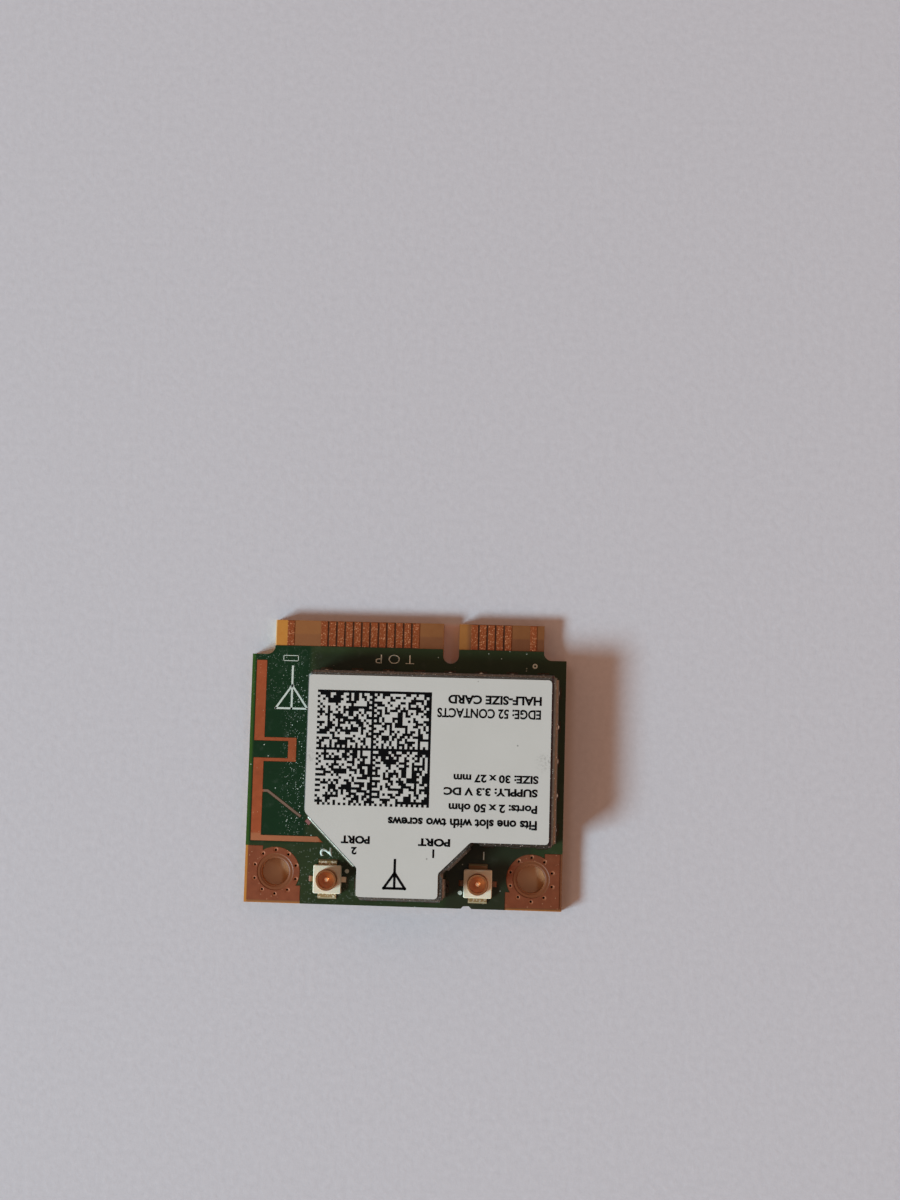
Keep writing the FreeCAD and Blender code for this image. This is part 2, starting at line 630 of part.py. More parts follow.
def jack(label, side):
    """A coaxial receptacle: shell and centre contact set in a moulded insulator."""
    spot = dict(x=f"{side} * {JACK_X}", y=JACK_Y, z=TOP)
    outer, inner = "(ring_diameter / 2)", "(ring_diameter / 2 - ring_wall)"
    foot = "((tab_sheet + tail_sheet) / 2)"
    groove_top = "(jack_height - groove_drop)"
    groove_low = f"({groove_top} - groove_width)"

    shell = new_body(f"{label}_shell", **spot)
    profile = new_sketch(shell, plane="XZ_Plane")
    polygon(profile, [(inner, foot), (outer, foot), (outer, groove_low),
                      (f"{outer} - ring_groove", f"{groove_low} + ring_groove"),
                      (f"{outer} - ring_groove", f"{groove_top} - ring_groove"), (outer, groove_top),
                      (outer, "jack_height - ring_groove"), (f"{outer} - ring_groove", "jack_height"),
                      (inner, "jack_height")])
    ring = shell.newObject("PartDesign::Revolution", "ring")
    ring.Profile = profile
    ring.ReferenceAxis = (profile, ["V_Axis"])
    ring.Angle = 360
    for way in (-1, 1):
        tab = new_sketch(shell)
        rectangle(tab, "-tab_width / 2", f"{way} * tail_width", "tab_width / 2",
                  f"{way} * (jack_base / 2 + tab_reach)")
        pad(shell, tab, "tab_sheet")

    contact = new_body(f"{label}_contact", **spot)
    pin = new_sketch(contact)
    circle(pin, "0", "0", "pin_diameter / 2")
    pad(contact, pin, "pin_height")
    dress(contact, "Chamfer", level_at("pin_height"), "Size", "pin_bevel")
    tail = new_sketch(contact)
    tail_end = "(jack_base / 2 + tail_reach)"
    rectangle(tail, f"-{tail_end}", "-tail_width / 2", tail_end, "tail_width / 2")
    pad(contact, tail, "tail_sheet")

    block = new_body(f"{label}_moulding", **spot)
    plan = new_sketch(block)
    rectangle(plan, "-jack_base / 2", "-jack_base / 2", "jack_base / 2", "jack_base / 2")
    pad(block, plan, "jack_base_height")
    dress(block, "Fillet", upright_at(BASE_CORNERS), "Radius", "jack_base_corner")
    dress(block, "Chamfer", level_at("jack_base_height"), "Size", "jack_base_bevel")
    hollow = doc.addObject("Part::Cut", f"{label}_hollow")
    hollow.Base, hollow.Tool = block, shell
    insulator = doc.addObject("Part::Cut", f"{label}_insulator")
    insulator.Base, insulator.Tool = hollow, contact
    return [shell, contact, insulator]


jacks = jack("jack_aux", -1) + jack("jack_main", 1)

# A tab points to the front and back of each jack, and a tail to its left and right
TAB, TAIL = ("tab_width", "tab_reach", "tab_sheet"), ("tail_width", "tail_reach", "tail_sheet")
ENDS = [(0, 0, 1, TAB), (90, -1, 0, TAIL), (180, 0, -1, TAB), (270, 1, 0, TAIL)]
jack_lands, wedges, jack_openings = [], [], new_sketch(mask_top)
for side in (-1, 1):
    for turn, way_x, way_y, (wide, reach, thickness) in ENDS:
        run = f"({reach} + solder_run)"
        x = f"({side} * {JACK_X} + {way_x} * (jack_base / 2 + {run} / 2))"
        y = f"({JACK_Y} + {way_y} * (jack_base / 2 + {run} / 2))"
        across, deep = (wide, run) if way_y else (run, wide)
        jack_lands.append(box(x, y, TOP_LAYER, across, deep, "layer"))
        rectangle(jack_openings, f"{x} - {across} / 2 - mask_gap", f"{y} - {deep} / 2 - mask_gap",
                  f"{x} + {across} / 2 + mask_gap", f"{y} + {deep} / 2 + mask_gap")
        wedges.append(solder_wedge(f"{side} * {JACK_X} + {way_x} * (jack_base / 2 + {reach})",
                                   f"{JACK_Y} + {way_y} * (jack_base / 2 + {reach})",
                                   turn, wide, thickness, "solder_run"))
pocket(mask_top, jack_openings)
jack_lands = group("jack_lands", jack_lands)
jack_solder = group("jack_solder", wedges)


# Parts under the shield

ROOM_LEFT = f"({LID_LEFT} + {INSIDE} + part_gap)"
ROOM_RIGHT = f"({LID_RIGHT} - {INSIDE} - part_gap)"
ROOM_FRONT = f"({LID_FRONT} - {INSIDE} - part_gap)"
ROOM_BACK = f"({LID_BACK} + {INSIDE} + part_gap)"
CHIP_X = f"(({LID_LEFT} + {LID_RIGHT}) / 2)"
CHIP_Y = f"(({LID_FRONT} + {LID_SHELF}) / 2)"
TAIL_X = f"(({TAIL_LEFT} + {TAIL_RIGHT}) / 2)"
MEMORY_Y = f"({ROOM_FRONT} - crystal_width - part_gap - memory_width / 2)"
INDUCTOR_Y = f"({ROOM_FRONT} - regulator_size - part_gap - inductor_width / 2)"
RESISTOR_Y = f"({MEMORY_Y} - memory_width / 2 - part_gap - resistor_width / 2)"


def package(label, x, y, length, width, height):
    """A moulded package with a bevel round its top."""
    body = new_body(label, x=x, y=y, z=TOP)
    plan = new_sketch(body)
    rectangle(plan, f"-{length} / 2", f"-{width} / 2", f"{length} / 2", f"{width} / 2")
    pad(body, plan, height)
    dress(body, "Chamfer", level_at(height), "Size", "chip_bevel")
    return body


packages = [
    package("radio_chip", CHIP_X, CHIP_Y, "chip_size", "chip_size", "chip_height"),
    package("crystal", f"{ROOM_LEFT} + crystal_length / 2", f"{ROOM_FRONT} - crystal_width / 2",
            "crystal_length", "crystal_width", "crystal_height"),
    package("memory_chip", f"{ROOM_LEFT} + memory_length / 2", MEMORY_Y,
            "memory_length", "memory_width", "memory_height"),
    package("voltage_regulator", f"{ROOM_RIGHT} - regulator_size / 2", f"{ROOM_FRONT} - regulator_size / 2",
            "regulator_size", "regulator_size", "regulator_height")]
filters = []
for name, side in (("aux", -1), ("main", 1)):
    x = f"({TAIL_X} + {side} * (module_size + part_gap) / 2)"
    module_y = f"{ROOM_BACK} + filter_width + part_gap + module_size / 2"
    packages.append(package(f"front_end_{name}", x, module_y, "module_size", "module_size", "module_height"))
    filters.append(box(x, f"({ROOM_BACK} + filter_width / 2)", TOP,
                       "filter_length", "filter_width", "filter_height"))
band_filters = group("band_filters", filters)

inductors = group("power_inductors", [
    box(f"({ROOM_RIGHT} - inductor_length / 2)", f"({INDUCTOR_Y} - {n} * (inductor_width + part_gap))", TOP,
        "inductor_length", "inductor_width", "inductor_height") for n in range(3)])

resistors = group("resistors", [
    box(f"({ROOM_LEFT} + resistor_length / 2 + {column} * (resistor_length + part_gap))",
        f"({RESISTOR_Y} - {line} * (resistor_width + part_gap))", TOP,
        "resistor_length", "resistor_width", "resistor_height") for column in range(4) for line in range(3)])

# A row of capacitors stands along each side of the radio chip
ROW = 6
chip_edge = "(chip_size / 2 + part_gap + capacitor_length / 2)"
capacitor_blocks = []
for n in range(ROW):
    along = f"({n - (ROW - 1) / 2} * (capacitor_width + part_gap))"
    for way in (-1, 1):
        capacitor_blocks.append(box(f"({CHIP_X} + {along})", f"({CHIP_Y} + {way} * {chip_edge})", TOP,
                                    "capacitor_width", "capacitor_length", "capacitor_height"))
        capacitor_blocks.append(box(f"({CHIP_X} + {way} * {chip_edge})", f"({CHIP_Y} + {along})", TOP,
                                    "capacitor_length", "capacitor_width", "capacitor_height"))
capacitors = group("capacitors", capacitor_blocks)


# Check every object, then write one file for each sub-part

doc.recompute()
faulty = [item.Label for item in doc.Objects if {"Invalid", "Error"} & set(item.State)]
if faulty:
    raise RuntimeError(f"not built: {faulty}")

nodes = [board, mask_top, mask_bottom, contacts_top, contacts_bottom, *pads, antenna, feed_pad,
         shield_lands, frame, lid, shield_solder, label, *jacks, jack_lands, jack_solder, *packages,
         band_filters, inductors, resistors, capacitors]
os.makedirs("parts", exist_ok=True)
for node in nodes:
    if node.Shape.isNull() or not node.Shape.isValid():
        raise RuntimeError(f"bad shape: {node.Label}")
    node.Shape.exportStep(f"parts/{node.Label}.step")
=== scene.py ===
import json
import math
import random
import bpy
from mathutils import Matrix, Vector


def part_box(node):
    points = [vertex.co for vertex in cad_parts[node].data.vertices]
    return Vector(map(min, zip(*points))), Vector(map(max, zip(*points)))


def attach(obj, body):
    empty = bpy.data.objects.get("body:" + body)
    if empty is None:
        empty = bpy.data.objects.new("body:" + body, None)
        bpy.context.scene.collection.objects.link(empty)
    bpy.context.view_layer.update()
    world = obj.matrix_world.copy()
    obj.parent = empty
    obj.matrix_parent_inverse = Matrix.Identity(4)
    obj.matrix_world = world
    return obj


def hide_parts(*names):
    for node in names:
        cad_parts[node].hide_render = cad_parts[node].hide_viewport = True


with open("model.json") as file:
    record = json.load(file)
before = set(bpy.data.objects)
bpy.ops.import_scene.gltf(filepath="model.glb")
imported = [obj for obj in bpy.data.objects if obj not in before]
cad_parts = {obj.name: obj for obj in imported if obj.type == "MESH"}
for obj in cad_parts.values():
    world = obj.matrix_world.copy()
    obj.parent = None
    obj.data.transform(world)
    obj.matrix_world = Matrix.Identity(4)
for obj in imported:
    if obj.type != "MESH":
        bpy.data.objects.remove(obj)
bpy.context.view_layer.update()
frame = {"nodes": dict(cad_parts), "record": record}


# Table: a wide sheet of pale matt card that the part lies on, a hair under its underside.
# It belongs to the picture and not to the part. Its colour holds painted light: a painted warm bounce in the
# mounting holes and key notch, painted shade on each hole's far side, a painted shadow on the shaded side.

MM = 0.001


class Wire:
    """The output of a shader node. Sums on it add Math nodes to the same material."""

    def __init__(self, tree, socket):
        self.tree = tree
        self.socket = socket

    def node(self, kind, settings=None, sockets=None, output=0):
        """Add a node, make its settings, then set or link its sockets."""
        made = self.tree.nodes.new("ShaderNode" + kind)
        for name, setting in (settings or {}).items():
            if name == "stops":
                (start, first), *middle, (end, last) = setting
                ramp = made.color_ramp.elements
                ramp[0].position, ramp[0].color = start, first
                ramp[1].position, ramp[1].color = end, last
                for place, colour in middle:
                    ramp.new(place).color = colour
            else:
                setattr(made, name, setting)
        for name, feed in (sockets or {}).items():
            if isinstance(feed, Wire):
                self.tree.links.new(feed.socket, made.inputs[name])
            else:
                made.inputs[name].default_value = feed
        return Wire(self.tree, made.outputs[output])

    def maths(self, operation, first, second=0.0):
        return self.node("Math", {"operation": operation}, {0: first, 1: second})

    def __add__(self, other):
        return self.maths("ADD", self, other)

    def __sub__(self, other):
        return self.maths("SUBTRACT", self, other)

    def __rsub__(self, other):
        return self.maths("SUBTRACT", other, self)

    def __mul__(self, other):
        return self.maths("MULTIPLY", self, other)

    def __lt__(self, other):
        return self.maths("LESS_THAN", self, other)

    def __or__(self, other):
        """The larger of two masks."""
        return self.maths("MAXIMUM", self, other)

    def __abs__(self):
        return self.maths("ABSOLUTE", self)

    __radd__, __rmul__ = __add__, __mul__


def paint(red, green, blue):
    """A colour as read off a screen, 0 to 255, turned into light."""
    parts = (part / 255 for part in (red, green, blue))
    return (*(part / 12.92 if part <= 0.04045 else ((part + 0.055) / 1.055) ** 2.4 for part in parts), 1.0)


def blend(amount, under, over):
    """One colour laid over another by an amount from 0 to 1."""
    return amount.node("Mix", {"data_type": "RGBA"}, {0: amount, 6: under, 7: over}, output=2)


def cloud(point, scale, detail=3.0, roughness=0.55):
    """Soft random patches, 0 to 1, so many to the millimetre."""
    return point.node("TexNoise", None, {"Vector": point, "Scale": scale, "Detail": detail,
                                         "Roughness": roughness})


def rise(value, low, high):
    """0 up to low and 1 from high on, smooth between them. It falls where low is over high."""
    return value.node("MapRange", {"interpolation_type": "SMOOTHSTEP"},
                      {"Value": value, "From Min": low, "From Max": high})


def length(across, along):
    """The distance that two steps at a right angle make."""
    return across.maths("SQRT", across * across + along * along)


class Finish:
    """A material on the Principled shader, with the point on the piece in millimetres."""

    def __init__(self, name, **fixed):
        self.material = bpy.data.materials.new(name)
        self.material.use_nodes = True
        tree = self.material.node_tree
        self.shader = tree.nodes["Principled BSDF"]
        for socket, number in fixed.items():
            self.shader.inputs[socket.replace("_", " ")].default_value = number
        place = Wire(tree, tree.nodes.new("ShaderNodeTexCoord").outputs["Object"])
        self.point = place.node("VectorMath", {"operation": "SCALE"}, {0: place, "Scale": 1 / MM})
        self.x = self.point.node("SeparateXYZ", None, {0: self.point})
        self.y, self.z = (Wire(tree, self.x.socket.node.outputs[axis]) for axis in ("Y", "Z"))

    def feed(self, **wires):
        for socket, wire in wires.items():
            wire.tree.links.new(wire.socket, self.shader.inputs[socket.replace("_", " ")])

    def bump(self, height, depth):
        """Raise the surface by height, 0 to 1, up to a depth in millimetres."""
        slopes = height.node("Bump", None, {"Height": height, "Strength": 1.0, "Distance": depth * MM})
        self.feed(Normal=slopes)

    def on(self, *objects):
        for thing in objects:
            thing.data.materials.clear()
            thing.data.materials.append(self.material)

    def on_nodes(self, *names):
        self.on(*(frame["nodes"][name] for name in names))


def rectangle(finish, left, back, right, front, soft=0.05):
    """1 inside an upright rectangle of the plan, in millimetres, and 0 outside."""
    across = rise(finish.x, left - soft, left + soft) * rise(finish.x, right + soft, right - soft)
    return across * rise(finish.y, back - soft, back + soft) * rise(finish.y, front + soft, front - soft)


def disc(finish, x, y, radius, soft=0.05):
    """1 inside a circle of the plan, and inside its twin at the card's other side."""
    return rise(length(abs(finish.x) - x, finish.y - y), radius, radius - soft)


def start_piece(add, **sizes):
    """Deselect everything, then add a primitive to work on."""
    bpy.ops.object.select_all(action="DESELECT")
    add(**sizes)
    return bpy.context.object


TABLE_SIDE, TABLE_CUTS, TABLE_DROP = 1600.0, 8, 0.004
mounts = {mount["name"]: mount for mount in frame["record"]["mounts"]}
HOLE_X = mounts["mounting_holes"]["dims"]["spacing_x_mm"] / 2
HOLE_Y = mounts["mounting_holes"]["pos_m"][1] / MM
FLOOR_RADIUS = 1.4
# Right of a hole's middle, its floor turns to the far side's painted shade between these two distances
FAR_START, FAR_END = 0.4, 0.8
# Left, back, right and front of the notch and of the strip with a painted shadow
NOTCH = (3.2, 9.9, 4.8, 13.4)
SHADED_STRIP = (14.8, -13.2, 15.7, 9.4)
CARD_DULL, CARD_BRIGHT = paint(170, 168, 173), paint(193, 191, 196)
PAINTED_BOUNCE_TAN, PAINTED_SHADE_BROWN = paint(196, 164, 134), paint(176, 132, 92)
PAINTED_BOUNCE_PINK, PAINTED_SHADOW_GREY = paint(204, 172, 164), paint(138, 126, 112)

table = start_piece(bpy.ops.mesh.primitive_grid_add, x_subdivisions=TABLE_CUTS, y_subdivisions=TABLE_CUTS,
                    size=TABLE_SIDE * MM)
table.name = "table"
table.location.z = -TABLE_DROP * MM
bpy.ops.object.transform_apply()
card_stock = Finish("table_card", Roughness=0.85)
fibres = cloud(card_stock.point, 1.6, 6.0, 0.7)
hole_floor_painted_bounce = disc(card_stock, HOLE_X, HOLE_Y, FLOOR_RADIUS)
right_far_painted_shade = rise(card_stock.x, HOLE_X + FAR_START, HOLE_X + FAR_END)
left_far_painted_shade = rise(card_stock.x, FAR_START - HOLE_X, FAR_END - HOLE_X) * rise(card_stock.x, 0.0, -FAR_END)
tone = blend(fibres, CARD_DULL, CARD_BRIGHT)
# Painted warm bounce light on the table in the mounting holes.
tone = blend(hole_floor_painted_bounce, tone, PAINTED_BOUNCE_TAN)
# Painted warm bounce light in the key notch.
tone = blend(rectangle(card_stock, *NOTCH, 0.3) * 0.8, tone, PAINTED_BOUNCE_PINK)
# Painted shadow along the card's shaded right side.
tone = blend(rectangle(card_stock, *SHADED_STRIP, 0.5) * 0.4, tone, PAINTED_SHADOW_GREY)
# Painted shade on the far side of each hole's floor, where the window's light falls through.
tone = blend(hole_floor_painted_bounce * (right_far_painted_shade | left_far_painted_shade), tone, PAINTED_SHADE_BROWN)
card_stock.feed(Base_Color=tone)
card_stock.bump(fibres, 0.02)
card_stock.on(table)


# Light and camera: a wide window low on the left and a small lamp high on the right, in a room with warm
# walls and a dark ceiling. Together they light a level surface about as plain white light does.
# The camera looks almost straight down.

WINDOW_WAY, WINDOW_FAR = (-2.13, -1.08, 1.0), 2700.0
WINDOW_WIDE, WINDOW_TALL = 960.0, 450.0
WINDOW_POWER = 184.0
WINDOW_COLOUR = (0.475, 0.697, 0.80)
LAMP_WAY, LAMP_FAR = (0.55, 0.35, 0.75), 1500.0
LAMP_SIDE, LAMP_POWER = 60.0, 0.55
HORIZON, WALLS, CEILING = (0.55, 0.52, 0.50, 1.0), (0.97, 0.51, 0.31, 1.0), (0.10, 0.09, 0.085, 1.0)
# The room's colour by height, from 0 at the horizon to 1 straight up
ROOM_STOPS = [(0.08, HORIZON), (0.16, WALLS), (0.55, WALLS), (0.85, CEILING)]
CAMERA_PLACE = Vector((10.481, 2.651, 151.055))
CAMERA_TURN = (5.0276, 2.4287, 1.5619)
LENS, SENSOR = 47.31, 36.0
SEEN_FROM, SEEN_TO = 5.0, 10000.0


def lamp(way, far, power):
    """An area light at a distance, aimed at the card."""
    bpy.ops.object.light_add(type="AREA", location=Vector(way).normalized() * far * MM)
    made = bpy.context.object
    made.rotation_euler = (-made.location).to_track_quat("-Z", "Y").to_euler()
    made.data.energy = power
    return made.data


scene = bpy.context.scene
window = lamp(WINDOW_WAY, WINDOW_FAR, WINDOW_POWER)
window.shape = "RECTANGLE"
window.size, window.size_y = WINDOW_WIDE * MM, WINDOW_TALL * MM
window.color = WINDOW_COLOUR
lamp(LAMP_WAY, LAMP_FAR, LAMP_POWER).size = LAMP_SIDE * MM

scene.world = bpy.data.worlds.new("room")
scene.world.use_nodes = True
room = scene.world.node_tree
outlook = Wire(room, room.nodes.new("ShaderNodeTexCoord").outputs["Generated"])
height = outlook.node("SeparateXYZ", None, {0: outlook}, output="Z")
room_colour = height.node("ValToRGB", {"stops": ROOM_STOPS}, {0: height})
room.links.new(room_colour.socket, room.nodes["Background"].inputs["Color"])
scene.view_settings.view_transform = "Standard"

bpy.ops.object.camera_add(location=CAMERA_PLACE * MM, rotation=[math.radians(angle) for angle in CAMERA_TURN])
scene.camera = bpy.context.object
scene.camera.data.lens = LENS
scene.camera.data.sensor_width = SENSOR
scene.camera.data.clip_start, scene.camera.data.clip_end = SEEN_FROM * MM, SEEN_TO * MM


# Board: glass-fibre laminate, pressed from woven cloth and resin, then milled to its outline.
# It looks brown where a copper plane lies inside and amber where there is none. Its left and back edges,
# which face the window, and the laminate beside the key notch are painted amber as if lit through.

def sides(node):
    """A node's left, back, right and front in the plan, in millimetres."""
    low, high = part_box(node)
    return low.x / MM, low.y / MM, high.x / MM, high.y / MM


def facing(finish, axis):
    """How far the surface faces along an axis, from -1 to 1, with no bump in it."""
    normal = finish.point.node("NewGeometry", output="True Normal")
    return normal.node("SeparateXYZ", None, {0: normal}, output=axis)


def sine(angle):
    return angle.maths("SINE", angle)


BOARD_LEFT, BOARD_BACK, _, BOARD_FRONT = sides("board")
HOLE_LIP, HOLE_RIM = 1.48, 1.8
THREAD_RATE, PLY_RATE = 14.0, 38.0
# Where each change of tone starts and ends, across or along the board
LIT_LEFT_EDGE, LIT_BACK_EDGE = (BOARD_LEFT + 0.35, BOARD_LEFT + 0.15), (BOARD_BACK + 0.2, BOARD_BACK)
FRONT_EDGE, PLANE_FADE = (BOARD_FRONT - 1.4, BOARD_FRONT - 1.2), (-12.0, 13.0)
TONGUE_EDGE, TONGUE_ROOT = (-12.72, -12.82), (10.0, 10.2)
# Left, back, right and front of the clear corner of the tongue, of the painted light beside the notch and of
# the gaps between its contacts
CLEAR_CORNER, LIT_THROUGH_BY_NOTCH = (-13.2, 10.2, -11.72, 14.0), (4.6, 9.4, 5.6, 14.0)
LONG_GAPS, SHORT_GAPS = (-8.4, 10.9, 0.8, 13.36), (6.0, 10.9, 9.6, 13.36)
PLANE_LEFT, PLANE_RIGHT, PLANE_THREAD = paint(122, 76, 43), paint(92, 51, 28), paint(140, 92, 58)
RIM_BROWN, WALL_BROWN, GAP_BROWN = paint(108, 58, 30), paint(152, 96, 56), paint(48, 28, 17)
AMBER_DULL, AMBER_BRIGHT, AMBER_PLY = paint(168, 106, 38), paint(180, 124, 54), paint(128, 76, 30)
PAINTED_EDGE_HIGHLIGHT = paint(236, 214, 160)

laminate = Finish("laminate", Roughness=0.5, IOR=1.5, Specular_IOR_Level=0.3)
milled = rise(abs(facing(laminate, "Z")), 0.6, 0.4)
threads = cloud(laminate.point, 1.2)
weave = sine(laminate.x * THREAD_RATE) * sine(laminate.y * THREAD_RATE) * 0.5 + 0.5
plies = sine(laminate.z * PLY_RATE) * 0.5 + 0.5
hole_rim = disc(laminate, HOLE_X, HOLE_Y, HOLE_RIM)
# Painted light: the left and back edges, which face the window, and the laminate beside the notch are lit
# amber.
clear = rectangle(laminate, *CLEAR_CORNER, 0.06) | rectangle(laminate, *LIT_THROUGH_BY_NOTCH, 0.3) * 0.4
clear = clear | rise(laminate.x, *LIT_LEFT_EDGE) | rise(laminate.y, *LIT_BACK_EDGE) * 0.6
clear = clear | rise(laminate.y, *FRONT_EDGE) * 0.12 | milled
plane = blend(rise(laminate.x, *PLANE_FADE), PLANE_LEFT, PLANE_RIGHT)
plane = blend(threads * 0.3, plane, PLANE_THREAD)
plane = blend(hole_rim * 0.8, plane, RIM_BROWN)
amber = blend(threads, AMBER_DULL, AMBER_BRIGHT)
amber = blend(milled * plies * 0.3, amber, AMBER_PLY)
amber = blend(hole_rim, amber, WALL_BROWN)
contact_gaps = rectangle(laminate, *LONG_GAPS, 0.02) | rectangle(laminate, *SHORT_GAPS, 0.02)
# Painted highlight: a pale line along the tongue's left edge, which faces the window.
tongue_edge_highlight = rise(laminate.x, *TONGUE_EDGE) * rise(laminate.y, *TONGUE_ROOT)
tone = blend(clear, plane, amber)
tone = blend(contact_gaps * 0.85, tone, GAP_BROWN)
tone = blend(tongue_edge_highlight * 0.6, tone, PAINTED_EDGE_HIGHLIGHT)
laminate.feed(Base_Color=tone, Roughness=weave * 0.12 + 0.42)
steps = disc(laminate, HOLE_X, HOLE_Y, HOLE_LIP, 0.18) + disc(laminate, HOLE_X, HOLE_Y, HOLE_RIM, 0.16)
laminate.bump(weave * 0.02 + threads * 0.04 + (2.0 - steps) * 0.5, 0.1)
laminate.on_nodes("board")


# Solder mask: a thin green lacquer over both faces, with openings for the bare copper.
# It looks olive over the copper planes and deep green where there are none, and dust has settled on its
# upper face beside the shield.

# Left, back, right and front of the bare laminate, the dust drifts, the strip with painted shade in front of
# the lid and the greyer corner by the right jack
NO_PLANE, JACK_DRIFT = (-16.0, -7.75, -9.4, 11.0), (-10.5, -13.3, -4.4, -7.8)
SHIELD_DRIFT, CORNER_DRIFT = (-11.6, -7.0, -9.2, 8.0), (-15.0, 6.0, -9.0, 10.4)
FRONT_SHADE_STRIP, RIGHT_CORNER = (-9.0, 8.6, -1.0, 10.3), (4.0, -14.0, 12.0, -7.4)
LIT_MASK_EDGE = (BOARD_LEFT + 0.45, BOARD_LEFT + 0.15)
COPPER_DARK, COPPER_LIGHT = paint(31, 43, 20), paint(42, 54, 27)
BARE_DARK, BARE_LIGHT, LIT_EDGE_GREEN = paint(6, 34, 13), paint(11, 45, 20), paint(46, 79, 22)
PAINTED_SHADE_BLACK, CORNER_BLACK, DUST_GREY = paint(20, 20, 13), paint(33, 34, 22), paint(196, 204, 192)


def dust(finish, scale, share, size):
    """Scattered specks, so many to the millimetre. Only a share of the places carries one."""
    cells = finish.point.node("TexVoronoi", None, {"Vector": finish.point, "Scale": scale})
    chosen = cells.node("SeparateColor", None, {0: Wire(cells.tree, cells.socket.node.outputs["Color"])})
    return (cells < size) * (chosen < share)


def lacquer(name):
    """The lacquer of one face. What lies on it still has to be added to its tone."""
    mask = Finish(name, Roughness=0.32, IOR=1.5)
    mask.patches = cloud(mask.point, 0.35)
    mask.grain = cloud(mask.point, 9.0, 2.0)
    over_copper = blend(mask.patches, COPPER_DARK, COPPER_LIGHT)
    over_laminate = blend(mask.patches, BARE_DARK, BARE_LIGHT)
    mask.tone = blend(rectangle(mask, *NO_PLANE, 0.25), over_copper, over_laminate)
    # Painted light: the strip along the left edge, which faces the window, is lit green as if light came
    # through.
    mask.tone = blend(rise(mask.x, *LIT_MASK_EDGE) * 0.9, mask.tone, LIT_EDGE_GREEN)
    mask.bump(mask.grain * 0.6 + mask.patches * 0.4, 0.006)
    return mask


upper = lacquer("green_lacquer_top")
drift = rectangle(upper, *SHIELD_DRIFT, 0.6) | rectangle(upper, *CORNER_DRIFT, 0.8) * 0.5
specks = dust(upper, 4.0, 0.16, 0.2) * drift | dust(upper, 9.0, 0.2, 0.3) * drift * 0.7
specks = specks | dust(upper, 2.5, 0.09, 0.13)
specks = specks | dust(upper, 7.0, 0.3, 0.3) * rectangle(upper, *JACK_DRIFT, 0.4) * 0.3
haze = rise(cloud(upper.point, 1.1, 5.0, 0.7), 0.52, 0.75) * 0.02
# Painted shade on the strip in front of the lid, which lies in its shadow; the corner by the right jack is
# greyer.
tone = blend(rectangle(upper, *FRONT_SHADE_STRIP, 0.4) * 0.5, upper.tone, PAINTED_SHADE_BLACK)
tone = blend(rectangle(upper, *RIGHT_CORNER, 0.4) * 0.7, tone, CORNER_BLACK)
tone = blend(specks * 0.75 | haze, tone, DUST_GREY)
upper.feed(Base_Color=tone, Roughness=specks * 0.5 + haze * 2.0 + upper.grain * 0.1 + 0.26)
upper.on_nodes("solder_mask_top")

under = lacquer("green_lacquer_below")
under.feed(Base_Color=under.tone, Roughness=under.grain * 0.1 + under.patches * 0.1 + 0.24)
under.on_nodes("solder_mask_bottom")


# Bare copper: ground pads with their rings of vias, the printed antenna, and the lands for solder.
# The copper is etched from foil, roughened, and dulled by a clear preservative. The lands are tinned by
# the solder that they carry.

VIAS, VIA_CIRCLE, VIA_RADIUS = 10, 2.085, 0.12
FUNNEL_WIDTH, FUNNEL_DEPTH, LIP_WIDTH = 0.14, 0.028, 0.04
DARKER_RIGHT_SIDE = (8.0, 12.0)
# Left, back, right and front of the antenna's foot and of its feed line
ANTENNA_FOOT, FEED_LINE = (-15.0, -8.0, -8.0, -6.9), (-13.5, -6.5, -8.0, -1.5)
PAD_DULL, PAD_BRIGHT, FUNNEL_BRIGHT = paint(114, 54, 27), paint(140, 74, 42), paint(190, 128, 90)
ANTENNA_DULL, ANTENNA_BRIGHT, FOOT_TAN = paint(144, 64, 27), paint(168, 84, 44), paint(178, 124, 86)
FEED_DULL, FEED_BRIGHT, FEED_LINE_GREY = paint(134, 80, 78), paint(170, 112, 108), paint(122, 96, 80)
COPPER_STAIN, COPPER_FLECK = paint(80, 42, 24), paint(220, 176, 138)
LAND_DARK, LAND_LIGHT = paint(44, 40, 30), paint(84, 78, 66)


def copper(name, dull, bright):
    """Mottled copper with stains, darker towards the card's right side, and a few bright flecks."""
    metal = Finish(name, Metallic=0.35, Roughness=0.5)
    mottle = cloud(metal.point, 1.3, 4.0, 0.6)
    metal.grain = cloud(metal.point, 16.0, 2.0, 0.6)
    stains_and_right_side = rise(cloud(metal.point, 0.5), 0.5, 0.75) | rise(metal.x, *DARKER_RIGHT_SIDE)
    metal.tone = blend(mottle, dull, bright)
    metal.tone = blend(stains_and_right_side * 0.25, metal.tone, COPPER_STAIN)
    metal.tone = blend(dust(metal, 5.0, 0.12, 0.2) * 0.5, metal.tone, COPPER_FLECK)
    metal.feed(Base_Color=metal.tone, Roughness=metal.grain * 0.25 + mottle * 0.1 + 0.32)
    metal.bump(metal.grain, 0.008)
    return metal


